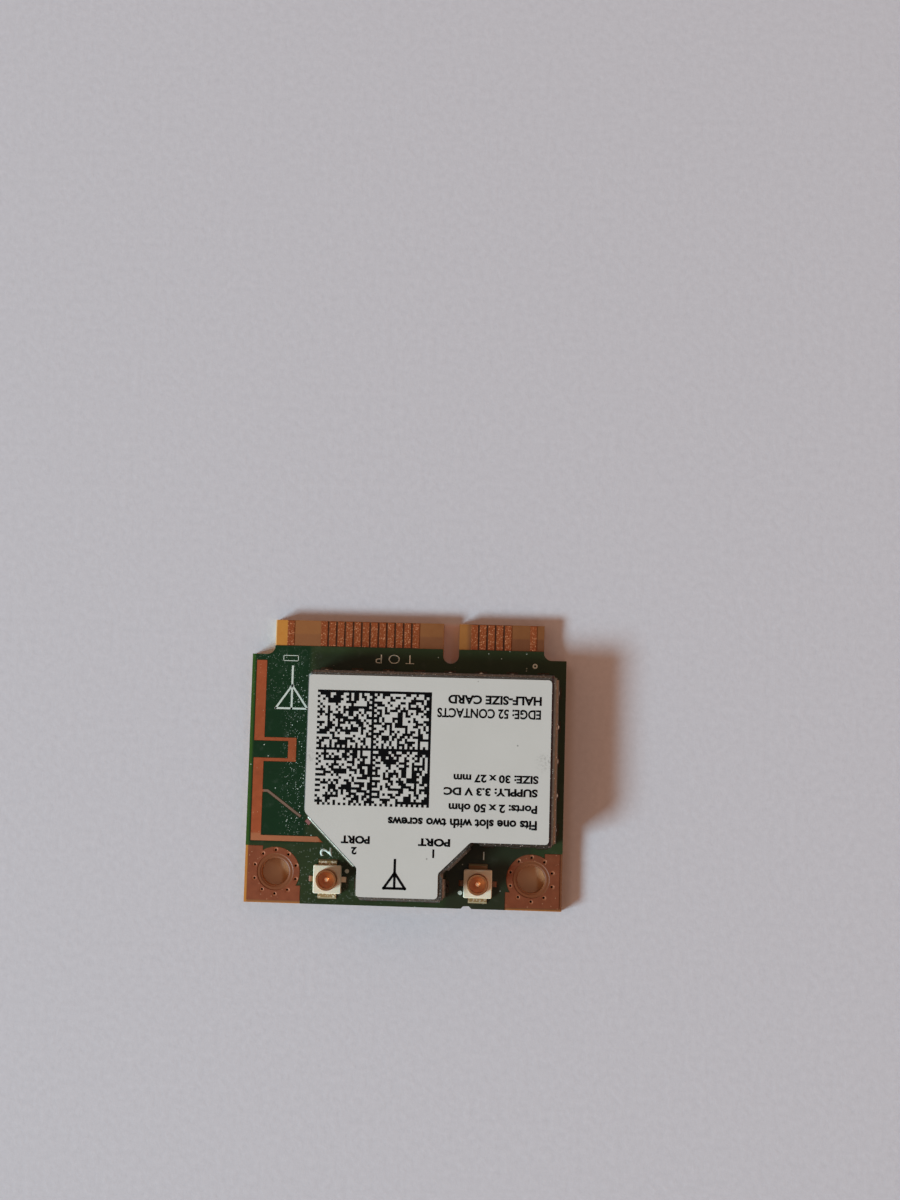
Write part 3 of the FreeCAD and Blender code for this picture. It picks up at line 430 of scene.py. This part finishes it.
pads = copper("pad_copper", PAD_DULL, PAD_BRIGHT)
off_x, off_y = abs(pads.x) - HOLE_X, pads.y - HOLE_Y
outwards = length(off_x, off_y) - VIA_CIRCLE
turns = off_x.maths("ARCTAN2", off_x, off_y) * (VIAS / math.tau) + 0.5
sideways = (turns.maths("FRACT", turns) - 0.5) * (VIA_CIRCLE * math.tau / VIAS)
from_via = length(outwards, sideways)
funnel = rise(from_via, VIA_RADIUS, VIA_RADIUS + FUNNEL_WIDTH)
bright_lip = rise(from_via, VIA_RADIUS + FUNNEL_WIDTH, VIA_RADIUS + LIP_WIDTH)
pads.bump(pads.grain * 0.3 + funnel, FUNNEL_DEPTH)
pads.feed(Base_Color=blend(bright_lip * 0.25, pads.tone, FUNNEL_BRIGHT))
pads.on_nodes("ground_pad_left", "ground_pad_right", "ground_pad_left_below", "ground_pad_right_below")

aerial = copper("antenna_copper", ANTENNA_DULL, ANTENNA_BRIGHT)
tone = blend(rectangle(aerial, *ANTENNA_FOOT, 0.1) * 0.45, aerial.tone, FOOT_TAN)
aerial.feed(Base_Color=blend(rectangle(aerial, *FEED_LINE, 0.1), tone, FEED_LINE_GREY))
aerial.on_nodes("printed_antenna")
copper("feed_copper", FEED_DULL, FEED_BRIGHT).on_nodes("feed_pad")

tinned = Finish("tinned_land", Metallic=0.4, Roughness=0.4)
wetting = cloud(tinned.point, 5.0, 4.0, 0.65)
tinned.feed(Base_Color=blend(wetting, LAND_DARK, LAND_LIGHT), Roughness=wetting * 0.4 + 0.2)
tinned.bump(wetting, 0.01)
tinned.on_nodes("shield_lands", "jack_lands")


# Edge contacts: copper strips plated with hard gold over nickel, worn by the socket's springs.
# The wear shows as fine bright flecks and as streaks along each strip.

STREAK_RATES = (9.0, 1.2, 1.0)
CONTACT_ROOT = (11.7, 10.8)
GOLD_DULL, GOLD_BRIGHT, GOLD_ROOT = paint(120, 52, 23), paint(174, 93, 50), paint(150, 60, 36)
GOLD_FLECK = paint(240, 182, 134)

plating = Finish("contact_gold", Metallic=0.45, Roughness=0.4)
streak_place = plating.point.node("Mapping", None, {"Vector": plating.point, "Scale": STREAK_RATES})
streaks = cloud(streak_place, 1.0, 4.0, 0.65)
flecks = rise(cloud(plating.point, 7.0, 3.0, 0.7), 0.54, 0.68) * 0.7 | dust(plating, 7.0, 0.34, 0.32)
tone = blend(streaks, GOLD_DULL, GOLD_BRIGHT)
tone = blend(rise(plating.y, *CONTACT_ROOT) * 0.35, tone, GOLD_ROOT)
tone = blend(flecks * 0.7, tone, GOLD_FLECK)
plating.feed(Base_Color=tone, Roughness=streaks * 0.3 + 0.22)
plating.bump(streaks * 0.5 + flecks * 0.5, 0.008)
plating.on_nodes("edge_contacts_top", "edge_contacts_bottom")


# Shield: a frame soldered to the board and a lid folded from tin-plated steel, snapped over it.
# The tin is dull, with patches of grime, and rubbed. Round the label and in the bends it carries painted dark
# reflections and painted glints; painted light falls on its east-facing walls and on the left slope's bend.

LID_LEFT, LID_BACK, LID_RIGHT, LID_FRONT = sides("shield_lid")
# Where each change of tone starts and ends, up, along or across the lid
TOP_BEND, LOW_BEND = (2.9, 3.1), (3.17, 3.11)
FRONT_REFLECTION_BAND, BACK_REFLECTION_BAND = (LID_FRONT - 0.55, LID_FRONT - 0.25), (-4.9, -5.3)
EAST_SIDE, TAIL_SIDES, SLOPED_SIDE = (LID_RIGHT - 1.3, LID_RIGHT - 1.0), (-10.0, -10.3), (-4.6, -4.9)
LINE_FROM, TAN_FROM = (LID_RIGHT - 0.72, LID_RIGHT - 0.64), (LID_RIGHT - 0.54, LID_RIGHT - 0.36)
# Left, back, right and front of the margin over the right mounting hole, darkened by a painted dark
# reflection
SHELF_REFLECTION_BAND = (6.0, -8.0, 15.0, -6.8)
TIN_DULL, TIN_BRIGHT = paint(108, 109, 105), paint(142, 142, 138)
GRIME_AND_DARK_REFLECTION, DEEPER_DARK_REFLECTION, GLINT = paint(56, 52, 46), paint(36, 33, 27), paint(176, 172, 164)
PAINTED_EAST_LIGHT, PAINTED_WEST_HIGHLIGHT, PAINTED_WEST_SHADE = paint(160, 140, 124), paint(180, 170, 146), paint(52, 48, 36)
PAINTED_DARK_LINE, PAINTED_TAN_REFLECTION, TIN_DUST = paint(66, 40, 42), paint(134, 118, 102), paint(225, 222, 214)

tin = Finish("tin_plate", Metallic=0.9, Roughness=0.5)
smears = cloud(tin.point, 1.5, 5.0, 0.65)
rubbing = cloud(tin.point, 14.0, 3.0, 0.6)
grime = rise(cloud(tin.point, 3.5, 5.0, 0.7), 0.45, 0.65)
eastward = facing(tin, "X")
on_top = rise(tin.z, *TOP_BEND)
dark_reflection_margins = rise(tin.y, *FRONT_REFLECTION_BAND) | rise(tin.y, *BACK_REFLECTION_BAND)
shelf_dark_reflection = rectangle(tin, *SHELF_REFLECTION_BAND, 0.1)
east_painted_light = rise(eastward, 0.2, 0.5) * (rise(tin.x, *EAST_SIDE) | rise(tin.y, *TAIL_SIDES))
west_painted_light = rise(eastward, -0.2, -0.5) * rise(tin.y, *SLOPED_SIDE)
tone = blend(smears, TIN_DULL, TIN_BRIGHT)
# Painted dark reflections on the front, back and shelf margins of the lid, mixed with random grime.
tone = blend(dark_reflection_margins * 0.75 | shelf_dark_reflection * 0.95 | grime * 0.6, tone, GRIME_AND_DARK_REFLECTION)
# Painted glints on those dark margins.
tone = blend(rise(rubbing, 0.53, 0.64) * dark_reflection_margins * on_top * 0.5, tone, GLINT)
# Painted light on the walls that face east.
tone = blend(east_painted_light * 0.35, tone, PAINTED_EAST_LIGHT)
# Painted highlight on the left slope's bend, which faces the window, and painted shade below it.
tone = blend(west_painted_light * 0.5, tone, PAINTED_WEST_HIGHLIGHT)
tone = blend(west_painted_light * rise(tin.z, *LOW_BEND) * 0.85, tone, PAINTED_WEST_SHADE)
# More painted dark reflection on the shelf margin.
tone = blend(shelf_dark_reflection * 0.5, tone, DEEPER_DARK_REFLECTION)
# Painted dark reflection along the right margin, then a painted tan reflection beside it.
tone = blend(rise(tin.x, *LINE_FROM) * on_top * 0.8, tone, PAINTED_DARK_LINE)
tone = blend(rise(tin.x, *TAN_FROM) * on_top * 0.85, tone, PAINTED_TAN_REFLECTION)
tone = blend(dust(tin, 6.0, 0.2, 0.25) * on_top * 0.6, tone, TIN_DUST)
tin.feed(Base_Color=tone, Roughness=grime * 0.2 + rubbing * 0.15 + 0.38)
tin.bump(rubbing * 0.5 + smears * 0.5, 0.012)
tin.on_nodes("shield_frame", "shield_lid")


# Solder at the foot of the shield: a small bead at each foot of the frame, melted on to its land.
# It wets the frame and the copper, so each bead is round, with a flat underside and back.

BOARD_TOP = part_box("solder_mask_top")[1].z / MM
FRAME_LEFT, FRAME_BACK, FRAME_RIGHT, FRAME_FRONT = sides("shield_frame")
WALL = FRAME_LEFT - LID_LEFT
TAIL_LEFT, TAIL_LEFT_FRONT = -4.3, -10.01
TAIL_RIGHT, TAIL_RIGHT_FRONT = 4.1, -10.1
SHELF, SHELF_LEFT = -7.4, 6.8
SLOPE_FRONT = -5.01
# Each wall that runs along X or Y: its ends in plan, the turn of its beads and its number of feet
FRAME_WALLS = [((LID_LEFT, FRAME_FRONT), (LID_RIGHT, FRAME_FRONT), 0, 8),
               ((SHELF_LEFT, SHELF + WALL), (LID_RIGHT, SHELF + WALL), 180, 3),
               ((TAIL_LEFT, FRAME_BACK), (TAIL_RIGHT, FRAME_BACK), 180, 3),
               ((FRAME_RIGHT, SHELF), (FRAME_RIGHT, LID_FRONT), -90, 5),
               ((FRAME_LEFT, SLOPE_FRONT), (FRAME_LEFT, LID_FRONT), 90, 4),
               ((TAIL_LEFT + WALL, LID_BACK), (TAIL_LEFT + WALL, TAIL_LEFT_FRONT), 90, 1),
               ((TAIL_RIGHT - WALL, LID_BACK), (TAIL_RIGHT - WALL, TAIL_RIGHT_FRONT), -90, 1)]
BEAD_RADIUS, BEAD_SEGMENTS, BEAD_RINGS = 0.42, 16, 10
BEAD_SEED, CUT_MERGE = 11, 1e-7
# The least and the most of a bead's own width, depth and height
BEAD_SPREADS = [(0.8, 1.25), (0.8, 1.0), (0.7, 1.0)]
BEAD_HIGHLIGHT_CROWN = (BOARD_TOP + 0.14, BOARD_TOP + 0.26)
SMOOTH_ANGLE = 40.0
# Left, back, right and front of the bead in the shade of the lid's tail
SHADED_BEAD = (3.0, -13.0, 5.0, -9.5)
BEAD_FOOT, CROWN_HIGHLIGHT_DULL, CROWN_HIGHLIGHT_BRIGHT = paint(74, 64, 54), paint(176, 174, 168), paint(222, 220, 214)
BEAD_SHADE = paint(40, 34, 28)


def join(pieces, name):
    """Make one piece of several, with its place in its mesh, and leave it selected."""
    bpy.ops.object.select_all(action="DESELECT")
    for piece in pieces:
        piece.select_set(True)
    bpy.context.view_layer.objects.active = pieces[0]
    bpy.ops.object.join()
    bpy.ops.object.transform_apply()
    pieces[0].name = pieces[0].data.name = name
    return pieces[0]


def copy_at(piece, place, turn, size):
    """A copy with its own mesh, sized, turned and then moved to a place in millimetres."""
    twin = piece.copy()
    twin.data = piece.data.copy()
    scene.collection.objects.link(twin)
    twin.location = Vector(place) * MM
    twin.rotation_euler.z = math.radians(turn)
    twin.scale = size
    return twin


bead = start_piece(bpy.ops.mesh.primitive_uv_sphere_add, segments=BEAD_SEGMENTS, ring_count=BEAD_RINGS,
                   radius=BEAD_RADIUS * MM)
bpy.ops.object.mode_set(mode="EDIT")
for way in ((0, 0, -1), (0, -1, 0)):
    bpy.ops.mesh.select_all(action="SELECT")
    bpy.ops.mesh.bisect(plane_co=(0, 0, 0), plane_no=way, clear_outer=True, use_fill=True,
                        threshold=CUT_MERGE)
bpy.ops.object.mode_set(mode="OBJECT")
chance = random.Random(BEAD_SEED)
beads = []
for start, end, turn, feet in FRAME_WALLS:
    for n in range(feet):
        middle = Vector(start).lerp(Vector(end), (n + 0.5) / feet)
        size = [chance.uniform(least, most) for least, most in BEAD_SPREADS]
        beads.append(copy_at(bead, (middle.x, middle.y, BOARD_TOP), turn, size))
bpy.data.objects.remove(bead)
shield_beads = join(beads, "shield_beads")
bpy.ops.object.shade_smooth_by_angle(angle=math.radians(SMOOTH_ANGLE))

solder = Finish("solder_tin", Metallic=0.85, Roughness=0.3)
frost = cloud(solder.point, 10.0, 4.0, 0.6)
# Painted highlight on each bead's crown, and painted shade on the bead in the lid tail's shade.
tone = blend(rise(solder.z, *BEAD_HIGHLIGHT_CROWN), BEAD_FOOT, blend(frost, CROWN_HIGHLIGHT_DULL, CROWN_HIGHLIGHT_BRIGHT))
tone = blend(rectangle(solder, *SHADED_BEAD), tone, BEAD_SHADE)
solder.feed(Base_Color=tone, Roughness=frost * 0.3 + 0.18)
solder.bump(frost, 0.012)
solder.on(shield_beads)
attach(shield_beads, "root")
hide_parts("shield_solder")


# Label: matt coated paper, die-cut to the lid's plan and stuck on, a little off centre.
# Handling has left grey smudges at its edges and a few dark specks.

LABEL_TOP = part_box("label")[1].z / MM
# Middle and radius of each smudge and of the two large specks
RIGHT_SMUDGE, LEFT_SMUDGE = (13.2, 0.5, 1.3), (-9.0, 0.5, 1.0)
RIGHT_SPECK, BACK_SPECK = (10.55, 2.0, 0.12), (2.35, -8.7, 0.12)
PAPER_DULL, PAPER_BRIGHT = paint(176, 176, 170), paint(186, 186, 182)
SMUDGE_GREY, SPECK_BROWN = paint(96, 96, 92), paint(84, 80, 74)


def spot(finish, x, y, radius):
    """1 at a place on the label, fading to 0 at a radius."""
    middle = (x, y, LABEL_TOP)
    away = finish.point.node("VectorMath", {"operation": "DISTANCE"}, {0: finish.point, 1: middle},
                             output="Value")
    return rise(away, radius, radius * 0.2)


paper = Finish("label_paper", Roughness=0.6)
pulp = cloud(paper.point, 5.0, 5.0, 0.7)
shade_patch = cloud(paper.point, 0.25)
smudge = (spot(paper, *RIGHT_SMUDGE) | spot(paper, *LEFT_SMUDGE)) * rise(pulp, 0.45, 0.7)
specks = spot(paper, *RIGHT_SPECK) | spot(paper, *BACK_SPECK) | dust(paper, 0.9, 0.12, 0.05)
tone = blend(pulp * 0.4 + shade_patch * 0.6, PAPER_DULL, PAPER_BRIGHT)
tone = blend(smudge * 0.5, tone, SMUDGE_GREY)
tone = blend(specks * 0.7, tone, SPECK_BROWN)
paper.feed(Base_Color=tone, Roughness=pulp * 0.2 + 0.5)
paper.bump(pulp, 0.006)
paper.on_nodes("label")


# Print on the label: black ink, laid on before the label was cut, and read from the connector's side.
# A square of random blocks fills the place of the data code, and plain words fill the lines.

INK, INK_SUNK = 0.008, 0.004
LETTER_STEPS, LETTER_MERGE = 4, 0.001
MODULES = 44
QUARTER = MODULES // 2
DARK_SHARE, CODE_SEED = 0.52, 29
CODE_LEFT, CODE_BACK, CODE_SIDE = -8.32, -3.98, 10.74
# Each line of words: its weight, and the left, back, right and front of the rectangle that it fills
LABEL_LINES = [("HALF-SIZE CARD", 0.04, 3.95, 5.75, 12.7, 6.6),
               ("EDGE: 52 CONTACTS", 0.03, 2.95, 4.45, 12.65, 5.35),
               ("SIZE: 30 x 27 mm", 0.04, 4.64, -1.52, 12.55, -0.75),
               ("SUPPLY: 3.3 V DC", 0.045, 3.75, -2.75, 12.5, -2.0),
               ("Ports: 2 x 50 ohm", 0.04, 4.25, -4.28, 12.5, -3.48),
               ("Fits one slot with two screws", 0.04, -1.38, -5.78, 12.5, -4.9),
               ("PORT", 0.05, 1.5, -7.54, 4.5, -6.8),
               ("1", 0.045, 2.95, -8.6, 2.95, -7.8),
               ("PORT", 0.05, -5.7, -7.5, -3.0, -6.75),
               ("2", 0.045, -4.72, -8.5, -4.2, -7.8)]
INK_DARK, INK_LIGHT = paint(2, 2, 3), paint(12, 12, 13)


def flat_print(piece, level):
    """Give a flat piece the thickness of ink and lay it on a level, in millimetres."""
    piece.location.z = (level + INK - INK_SUNK) * MM
    bpy.ops.object.transform_apply()
    skin = piece.modifiers.new("ink", "SOLIDIFY")
    skin.thickness = INK * MM
    skin.offset = -1.0
    bpy.ops.object.modifier_apply(modifier="ink")


def part_corners():
    """Part faces that crowd one edge, or that meet only at a corner, so that each has its own walls."""
    for crowded, kind in ((True, "EDGE"), (False, "VERT")):
        bpy.ops.mesh.select_mode(type=kind)
        bpy.ops.mesh.select_non_manifold(extend=False, use_wire=False, use_boundary=False,
                                         use_non_contiguous=False, use_multi_face=crowded,
                                         use_verts=not crowded)
        bpy.ops.mesh.edge_split(type=kind)


def printed_words(words, weight, left, back, right, front, level, turn=180.0):
    """Letters that fill a rectangle of the plan, or its height if it has no width, drawn out to a weight."""
    letters = start_piece(bpy.ops.object.text_add)
    letters.data.body = words
    letters.data.resolution_u = LETTER_STEPS
    letters.data.offset = weight
    letters.rotation_euler.z = math.radians(turn)
    bpy.ops.object.convert(target="MESH")
    letters = bpy.context.object
    bpy.ops.object.transform_apply()
    bpy.ops.object.mode_set(mode="EDIT")
    bpy.ops.mesh.select_mode(type="VERT")
    bpy.ops.mesh.select_all(action="SELECT")
    bpy.ops.mesh.remove_doubles(threshold=LETTER_MERGE)
    bpy.ops.mesh.beautify_fill()
    bpy.ops.mesh.delete_loose()
    part_corners()
    bpy.ops.object.mode_set(mode="OBJECT")
    low = Vector(map(min, *(point.co for point in letters.data.vertices)))
    high = Vector(map(max, *(point.co for point in letters.data.vertices)))
    tall = (front - back) * MM / (high.y - low.y)
    wide = (right - left) * MM / (high.x - low.x) or tall
    middle = (low + high) / 2
    letters.scale = (wide, tall, 1.0)
    letters.location.x = (left + right) / 2 * MM - middle.x * wide
    letters.location.y = (back + front) / 2 * MM - middle.y * tall
    bpy.ops.object.transform_apply()
    flat_print(letters, level)
    return letters


code = start_piece(bpy.ops.mesh.primitive_grid_add, x_subdivisions=MODULES, y_subdivisions=MODULES,
                   size=CODE_SIDE * MM)
code.location = ((CODE_LEFT + CODE_SIDE / 2) * MM, (CODE_BACK + CODE_SIDE / 2) * MM, 0.0)
bpy.ops.object.transform_apply()
# Each quarter of the square has two solid sides and two dotted ones, with random blocks between them
chance = random.Random(CODE_SEED)
for face in code.data.polygons:
    column = int((face.center.x / MM - CODE_LEFT) / CODE_SIDE * MODULES) % QUARTER
    line = int((face.center.y / MM - CODE_BACK) / CODE_SIDE * MODULES) % QUARTER
    dark = chance.random() < DARK_SHARE
    if column == 0:
        dark = line % 2 == 1
    elif line == 0:
        dark = column % 2 == 1
    face.select = not dark and QUARTER - 1 not in (column, line)
scene.tool_settings.mesh_select_mode = (False, False, True)
bpy.ops.object.mode_set(mode="EDIT")
bpy.ops.mesh.delete(type="FACE")
part_corners()
bpy.ops.object.mode_set(mode="OBJECT")
flat_print(code, LABEL_TOP)
label_print = join([code] + [printed_words(*line, LABEL_TOP) for line in LABEL_LINES], "label_print")

ink = Finish("black_ink", Roughness=0.7, Specular_IOR_Level=0.05)
cover = cloud(ink.point, 12.0, 3.0, 0.7)
ink.feed(Base_Color=blend(cover, INK_DARK, INK_LIGHT), Roughness=cover * 0.2 + 0.6)
ink.bump(cover, 0.003)
ink.on(label_print)
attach(label_print, "root")


# Signs and marks: white epoxy ink on the lacquer, beside the jacks, the antenna and the contacts, and black
# ink on the label. The white ones are two port numbers, a word for the upper side, an antenna sign, three
# dots and a small box. The black one is an antenna sign.

# Each mark in letters: its weight, the rectangle that it fills, its level and, where it has one, its turn
PORT_TWO = ("2", 0.03, -7.9, -8.9, -6.75, -8.1, BOARD_TOP, 90.0)
PORT_ONE = ("1", 0.0, 7.6, -8.8, 7.6, -8.05, BOARD_TOP)
UPPER_SIDE = ("T O P", -0.015, -3.2, 9.45, 0.5, 10.3, BOARD_TOP)
# Each dot: its middle, its radius and the radius of its hole
DOTS, DOT_SIDES = [(-5.28, -10.25, 0.2, 0.0), (5.45, -11.93, 0.2, 0.0), (12.03, 9.55, 0.24, 0.11)], 20
BOX_CORNERS, BOX_STROKE = [(-12.0, 9.5), (-10.6, 9.5), (-10.6, 10.0), (-12.0, 10.0)], 0.06
# Each antenna sign: its middle, its height, its stroke and its level
BOARD_SIGN, LABEL_SIGN = (-11.1, 6.95, 4.0, 0.18, BOARD_TOP), (-0.6, -10.2, 2.6, 0.24, LABEL_TOP)
# Parts of an antenna sign as shares of its height
MAST_FOOT, ARM_FOOT, MAST_TIP, ARM_REACH = -0.5, -0.05, 0.5, 0.38
LEGEND_DULL, LEGEND_BRIGHT = paint(158, 166, 154), paint(212, 218, 208)


def sign_bar(start, end, width, level):
    """A flat line from one point of the plan to another, as wide as a pen stroke."""
    bar = start_piece(bpy.ops.mesh.primitive_plane_add, size=1.0)
    run = Vector(end) - Vector(start)
    bar.scale = ((run.length + width) * MM, width * MM, 1.0)
    bar.rotation_euler.z = math.atan2(run.y, run.x)
    bar.location = ((Vector(start) + Vector(end)) / 2 * MM).to_3d()
    bpy.ops.object.transform_apply()
    flat_print(bar, level)
    return bar


def sign_dot(x, y, radius, hole, level):
    """A flat dot, or a ring where it has a hole."""
    dot = start_piece(bpy.ops.mesh.primitive_circle_add, vertices=DOT_SIDES, radius=radius * MM,
                      fill_type="NGON")
    dot.location = (x * MM, y * MM, 0.0)
    bpy.ops.object.transform_apply()
    if hole:
        bpy.ops.object.mode_set(mode="EDIT")
        bpy.ops.mesh.select_all(action="SELECT")
        bpy.ops.mesh.inset(thickness=(radius - hole) * MM)
        bpy.ops.mesh.delete(type="FACE")
        bpy.ops.object.mode_set(mode="OBJECT")
    flat_print(dot, level)
    return dot


def antenna_sign(x, y, height, stroke, level):
    """A mast with two arms and a bar across them, the drawing-office sign for an antenna, tip to the back."""
    foot, fork, tip = (Vector((x, y - height * share)) for share in (MAST_FOOT, ARM_FOOT, MAST_TIP))
    reach = Vector((height * ARM_REACH, 0.0))
    lines = [(foot, tip), (fork, tip + reach), (fork, tip - reach), (tip + reach, tip - reach)]
    return [sign_bar(start, end, stroke, level) for start, end in lines]


marks = [printed_words(*mark) for mark in (PORT_TWO, PORT_ONE, UPPER_SIDE)]
marks += [sign_dot(*dot, BOARD_TOP) for dot in DOTS]
marks += antenna_sign(*BOARD_SIGN)
box_sides = zip(BOX_CORNERS[-1:] + BOX_CORNERS, BOX_CORNERS)
marks += [sign_bar(start, end, BOX_STROKE, BOARD_TOP) for start, end in box_sides]
board_marks = join(marks, "board_marks")
legend = Finish("white_legend", Roughness=0.6)
cover = cloud(legend.point, 7.0, 4.0, 0.7)
legend.feed(Base_Color=blend(cover, LEGEND_DULL, LEGEND_BRIGHT), Roughness=cover * 0.2 + 0.5)
legend.bump(cover, 0.004)
legend.on(board_marks)
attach(board_marks, "root")

label_sign = join(antenna_sign(*LABEL_SIGN), "label_sign")
ink.on(label_sign)
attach(label_sign, "root")


# Antenna jacks: a cream moulding that holds a stamped shell and a centre pin, both plated with gold.
# The shell's tabs and the pin's tails are tinned by the solder that holds them to the board.

JACK_X, JACK_Y = (place / MM for place in mounts["jack_main_ring"]["pos_m"][:2])
RING_INSIDE, RING_EDGE = 0.8, 0.95
# Where each change of tone starts and ends, in height
RING_TOP, TAB_TOP = (1.9, 2.1), (1.2, 1.14)
# The same, out from a jack's middle line, and from the left jack to the right one
TABS_FROM, JACK_TO_JACK = (0.8, 0.9), (-1.0, 1.0)
GLOW_RADIUS = (0.0004, 0.0002, 0.0001)
# Left, back, right and front of the right jack's tabs and of the left jack's tails
RIGHT_FRONT_TAB, RIGHT_BACK_TAB = (5.0, -10.0, 9.0, -9.0), (5.0, -13.5, 9.0, -12.0)
LEFT_EAST_TAIL, LEFT_WEST_TAIL = (-6.4, -12.0, -4.0, -10.0), (-8.63, -12.0, -8.2, -10.0)
CREAM_DULL, CREAM_BRIGHT, CREAM_IN_RING = paint(204, 194, 170), paint(218, 212, 190), paint(228, 182, 138)
CREAM_SPECK = paint(120, 96, 66)
SHELL_DULL, SHELL_BRIGHT, PAINTED_RIM_SHADE = paint(188, 114, 70), paint(224, 158, 108), paint(78, 42, 14)
TAB_DULL, TAB_BRIGHT = paint(148, 134, 92), paint(228, 224, 202)
FRONT_TAB_SHADE, BACK_TAB_BROWN = paint(108, 88, 64), paint(104, 96, 62)
PIN_DULL, PIN_BRIGHT = paint(240, 186, 136), paint(255, 222, 184)
LEFT_PIN_TAIL, RIGHT_PIN_TAIL_SHADE = paint(140, 84, 50), paint(74, 46, 38)
PAINTED_LIT_PIN_TAIL, OLIVE_PIN_TAIL = paint(252, 228, 200), paint(104, 80, 26)
FILLET_DULL, FILLET_BRIGHT = paint(86, 48, 28), paint(120, 72, 46)
PAINTED_LIT_FILLET, FILLET_AT_TABS = paint(250, 222, 194), paint(150, 140, 108)

moulding = Finish("cream_moulding", Roughness=0.45, Subsurface_Weight=0.1, Subsurface_Radius=GLOW_RADIUS)
haze = cloud(moulding.point, 2.0, 4.0, 0.6)
grain = cloud(moulding.point, 18.0, 2.0)
tone = blend(haze, CREAM_DULL, CREAM_BRIGHT)
tone = blend(disc(moulding, JACK_X, JACK_Y, RING_INSIDE), tone, CREAM_IN_RING)
tone = blend(dust(moulding, 5.0, 0.12, 0.1) * 0.5, tone, CREAM_SPECK)
moulding.feed(Base_Color=tone, Roughness=grain * 0.2 + 0.36)
moulding.bump(grain, 0.005)
moulding.on_nodes("jack_main_insulator", "jack_aux_insulator")


def gilding(name, dull, bright, metallic, roughness):
    """Worn gold plating. What is tinned near the board still has to be added to its tone."""
    gold = Finish(name, Metallic=metallic, Roughness=roughness)
    wear = cloud(gold.point, 4.0, 4.0, 0.6)
    scratches = cloud(gold.point, 22.0, 2.0)
    gold.on_board = rise(gold.z, *TAB_TOP)
    gold.tone = blend(wear, dull, bright)
    gold.feed(Roughness=scratches * 0.15 + wear * 0.1 + gold.on_board * 0.3 + roughness)
    gold.bump(scratches, 0.004)
    return gold


shell = gilding("shell_gold", SHELL_DULL, SHELL_BRIGHT, 0.85, 0.2)
wet_spots = rise(cloud(shell.point, 5.0), 0.5, 0.6)
tab = blend(wet_spots, TAB_DULL, TAB_BRIGHT)
# Painted shade on the right jack's front tab, which lies in the shield's shadow.
tab = blend(rectangle(shell, *RIGHT_FRONT_TAB), tab, FRONT_TAB_SHADE)
tab = blend(rectangle(shell, *RIGHT_BACK_TAB) * 0.5, tab, BACK_TAB_BROWN)
# Painted shade: a dark line round the top of each ring's outer edge.
rim_painted_shade = (1.0 - disc(shell, JACK_X, JACK_Y, RING_EDGE, 0.04)) * rise(shell.z, *RING_TOP)
tone = blend(rim_painted_shade * 0.75, shell.tone, PAINTED_RIM_SHADE)
shell.feed(Base_Color=blend(shell.on_board * 0.85, tone, tab))
shell.on_nodes("jack_main_shell", "jack_aux_shell")

pin = gilding("pin_gold", PIN_DULL, PIN_BRIGHT, 0.4, 0.15)
# The tails darken from the left jack to the right one: painted shade on the right jack's tails.
tail = blend(rise(pin.x, *JACK_TO_JACK), LEFT_PIN_TAIL, RIGHT_PIN_TAIL_SHADE)
# Painted light on the left jack's east tail, which lies in shade.
tail = blend(rectangle(pin, *LEFT_EAST_TAIL), tail, PAINTED_LIT_PIN_TAIL)
tail = blend(rectangle(pin, *LEFT_WEST_TAIL, 0.03), tail, OLIVE_PIN_TAIL)
pin.feed(Base_Color=blend(pin.on_board * 0.9, pin.tone, tail))
pin.on_nodes("jack_main_contact", "jack_aux_contact")

fillets = copper("jack_solder", FILLET_DULL, FILLET_BRIGHT)
# Painted light on the solder at the left jack's east tail, which lies in shade.
tone = blend(rectangle(fillets, *LEFT_EAST_TAIL), fillets.tone, PAINTED_LIT_FILLET)
at_tabs = rise(abs(fillets.y - JACK_Y), *TABS_FROM)
fillets.feed(Base_Color=blend(at_tabs, tone, FILLET_AT_TABS))
fillets.on_nodes("jack_solder")


# Parts under the shield: moulded chips, a metal-lidded crystal and rows of fired ceramic parts.
# They are soldered to the board, and the lid hides them.

CHIP_DARK, CHIP_LIGHT = paint(24, 24, 25), paint(44, 44, 46)
CRYSTAL_DARK, CRYSTAL_LIGHT = paint(150, 150, 146), paint(186, 186, 182)
CERAMIC_DARK, CERAMIC_LIGHT = paint(128, 98, 70), paint(168, 134, 98)
GLAZE_DARK, GLAZE_LIGHT = paint(22, 22, 26), paint(48, 48, 54)
FERRITE_DARK, FERRITE_LIGHT = paint(54, 54, 56), paint(84, 84, 86)


def inner_finish(name, dark, light, metallic, rough, scale):
    """A body with a fine grain, so many grains to the millimetre."""
    body = Finish(name, Metallic=metallic, Roughness=rough)
    grain = cloud(body.point, scale, 4.0, 0.6)
    body.feed(Base_Color=blend(grain, dark, light), Roughness=grain * 0.2 + rough)
    body.bump(grain, 0.006)
    return body


chip_moulding = inner_finish("chip_moulding", CHIP_DARK, CHIP_LIGHT, 0.0, 0.45, 14.0)
chip_moulding.on_nodes("radio_chip", "memory_chip", "voltage_regulator", "front_end_main", "front_end_aux")
inner_finish("crystal_lid", CRYSTAL_DARK, CRYSTAL_LIGHT, 0.9, 0.25, 8.0).on_nodes("crystal")
brown_ceramic = inner_finish("ceramic_brown", CERAMIC_DARK, CERAMIC_LIGHT, 0.0, 0.5, 12.0)
brown_ceramic.on_nodes("capacitors", "band_filters")
inner_finish("resistor_glaze", GLAZE_DARK, GLAZE_LIGHT, 0.0, 0.3, 12.0).on_nodes("resistors")
inner_finish("ferrite_grey", FERRITE_DARK, FERRITE_LIGHT, 0.0, 0.5, 16.0).on_nodes("power_inductors")
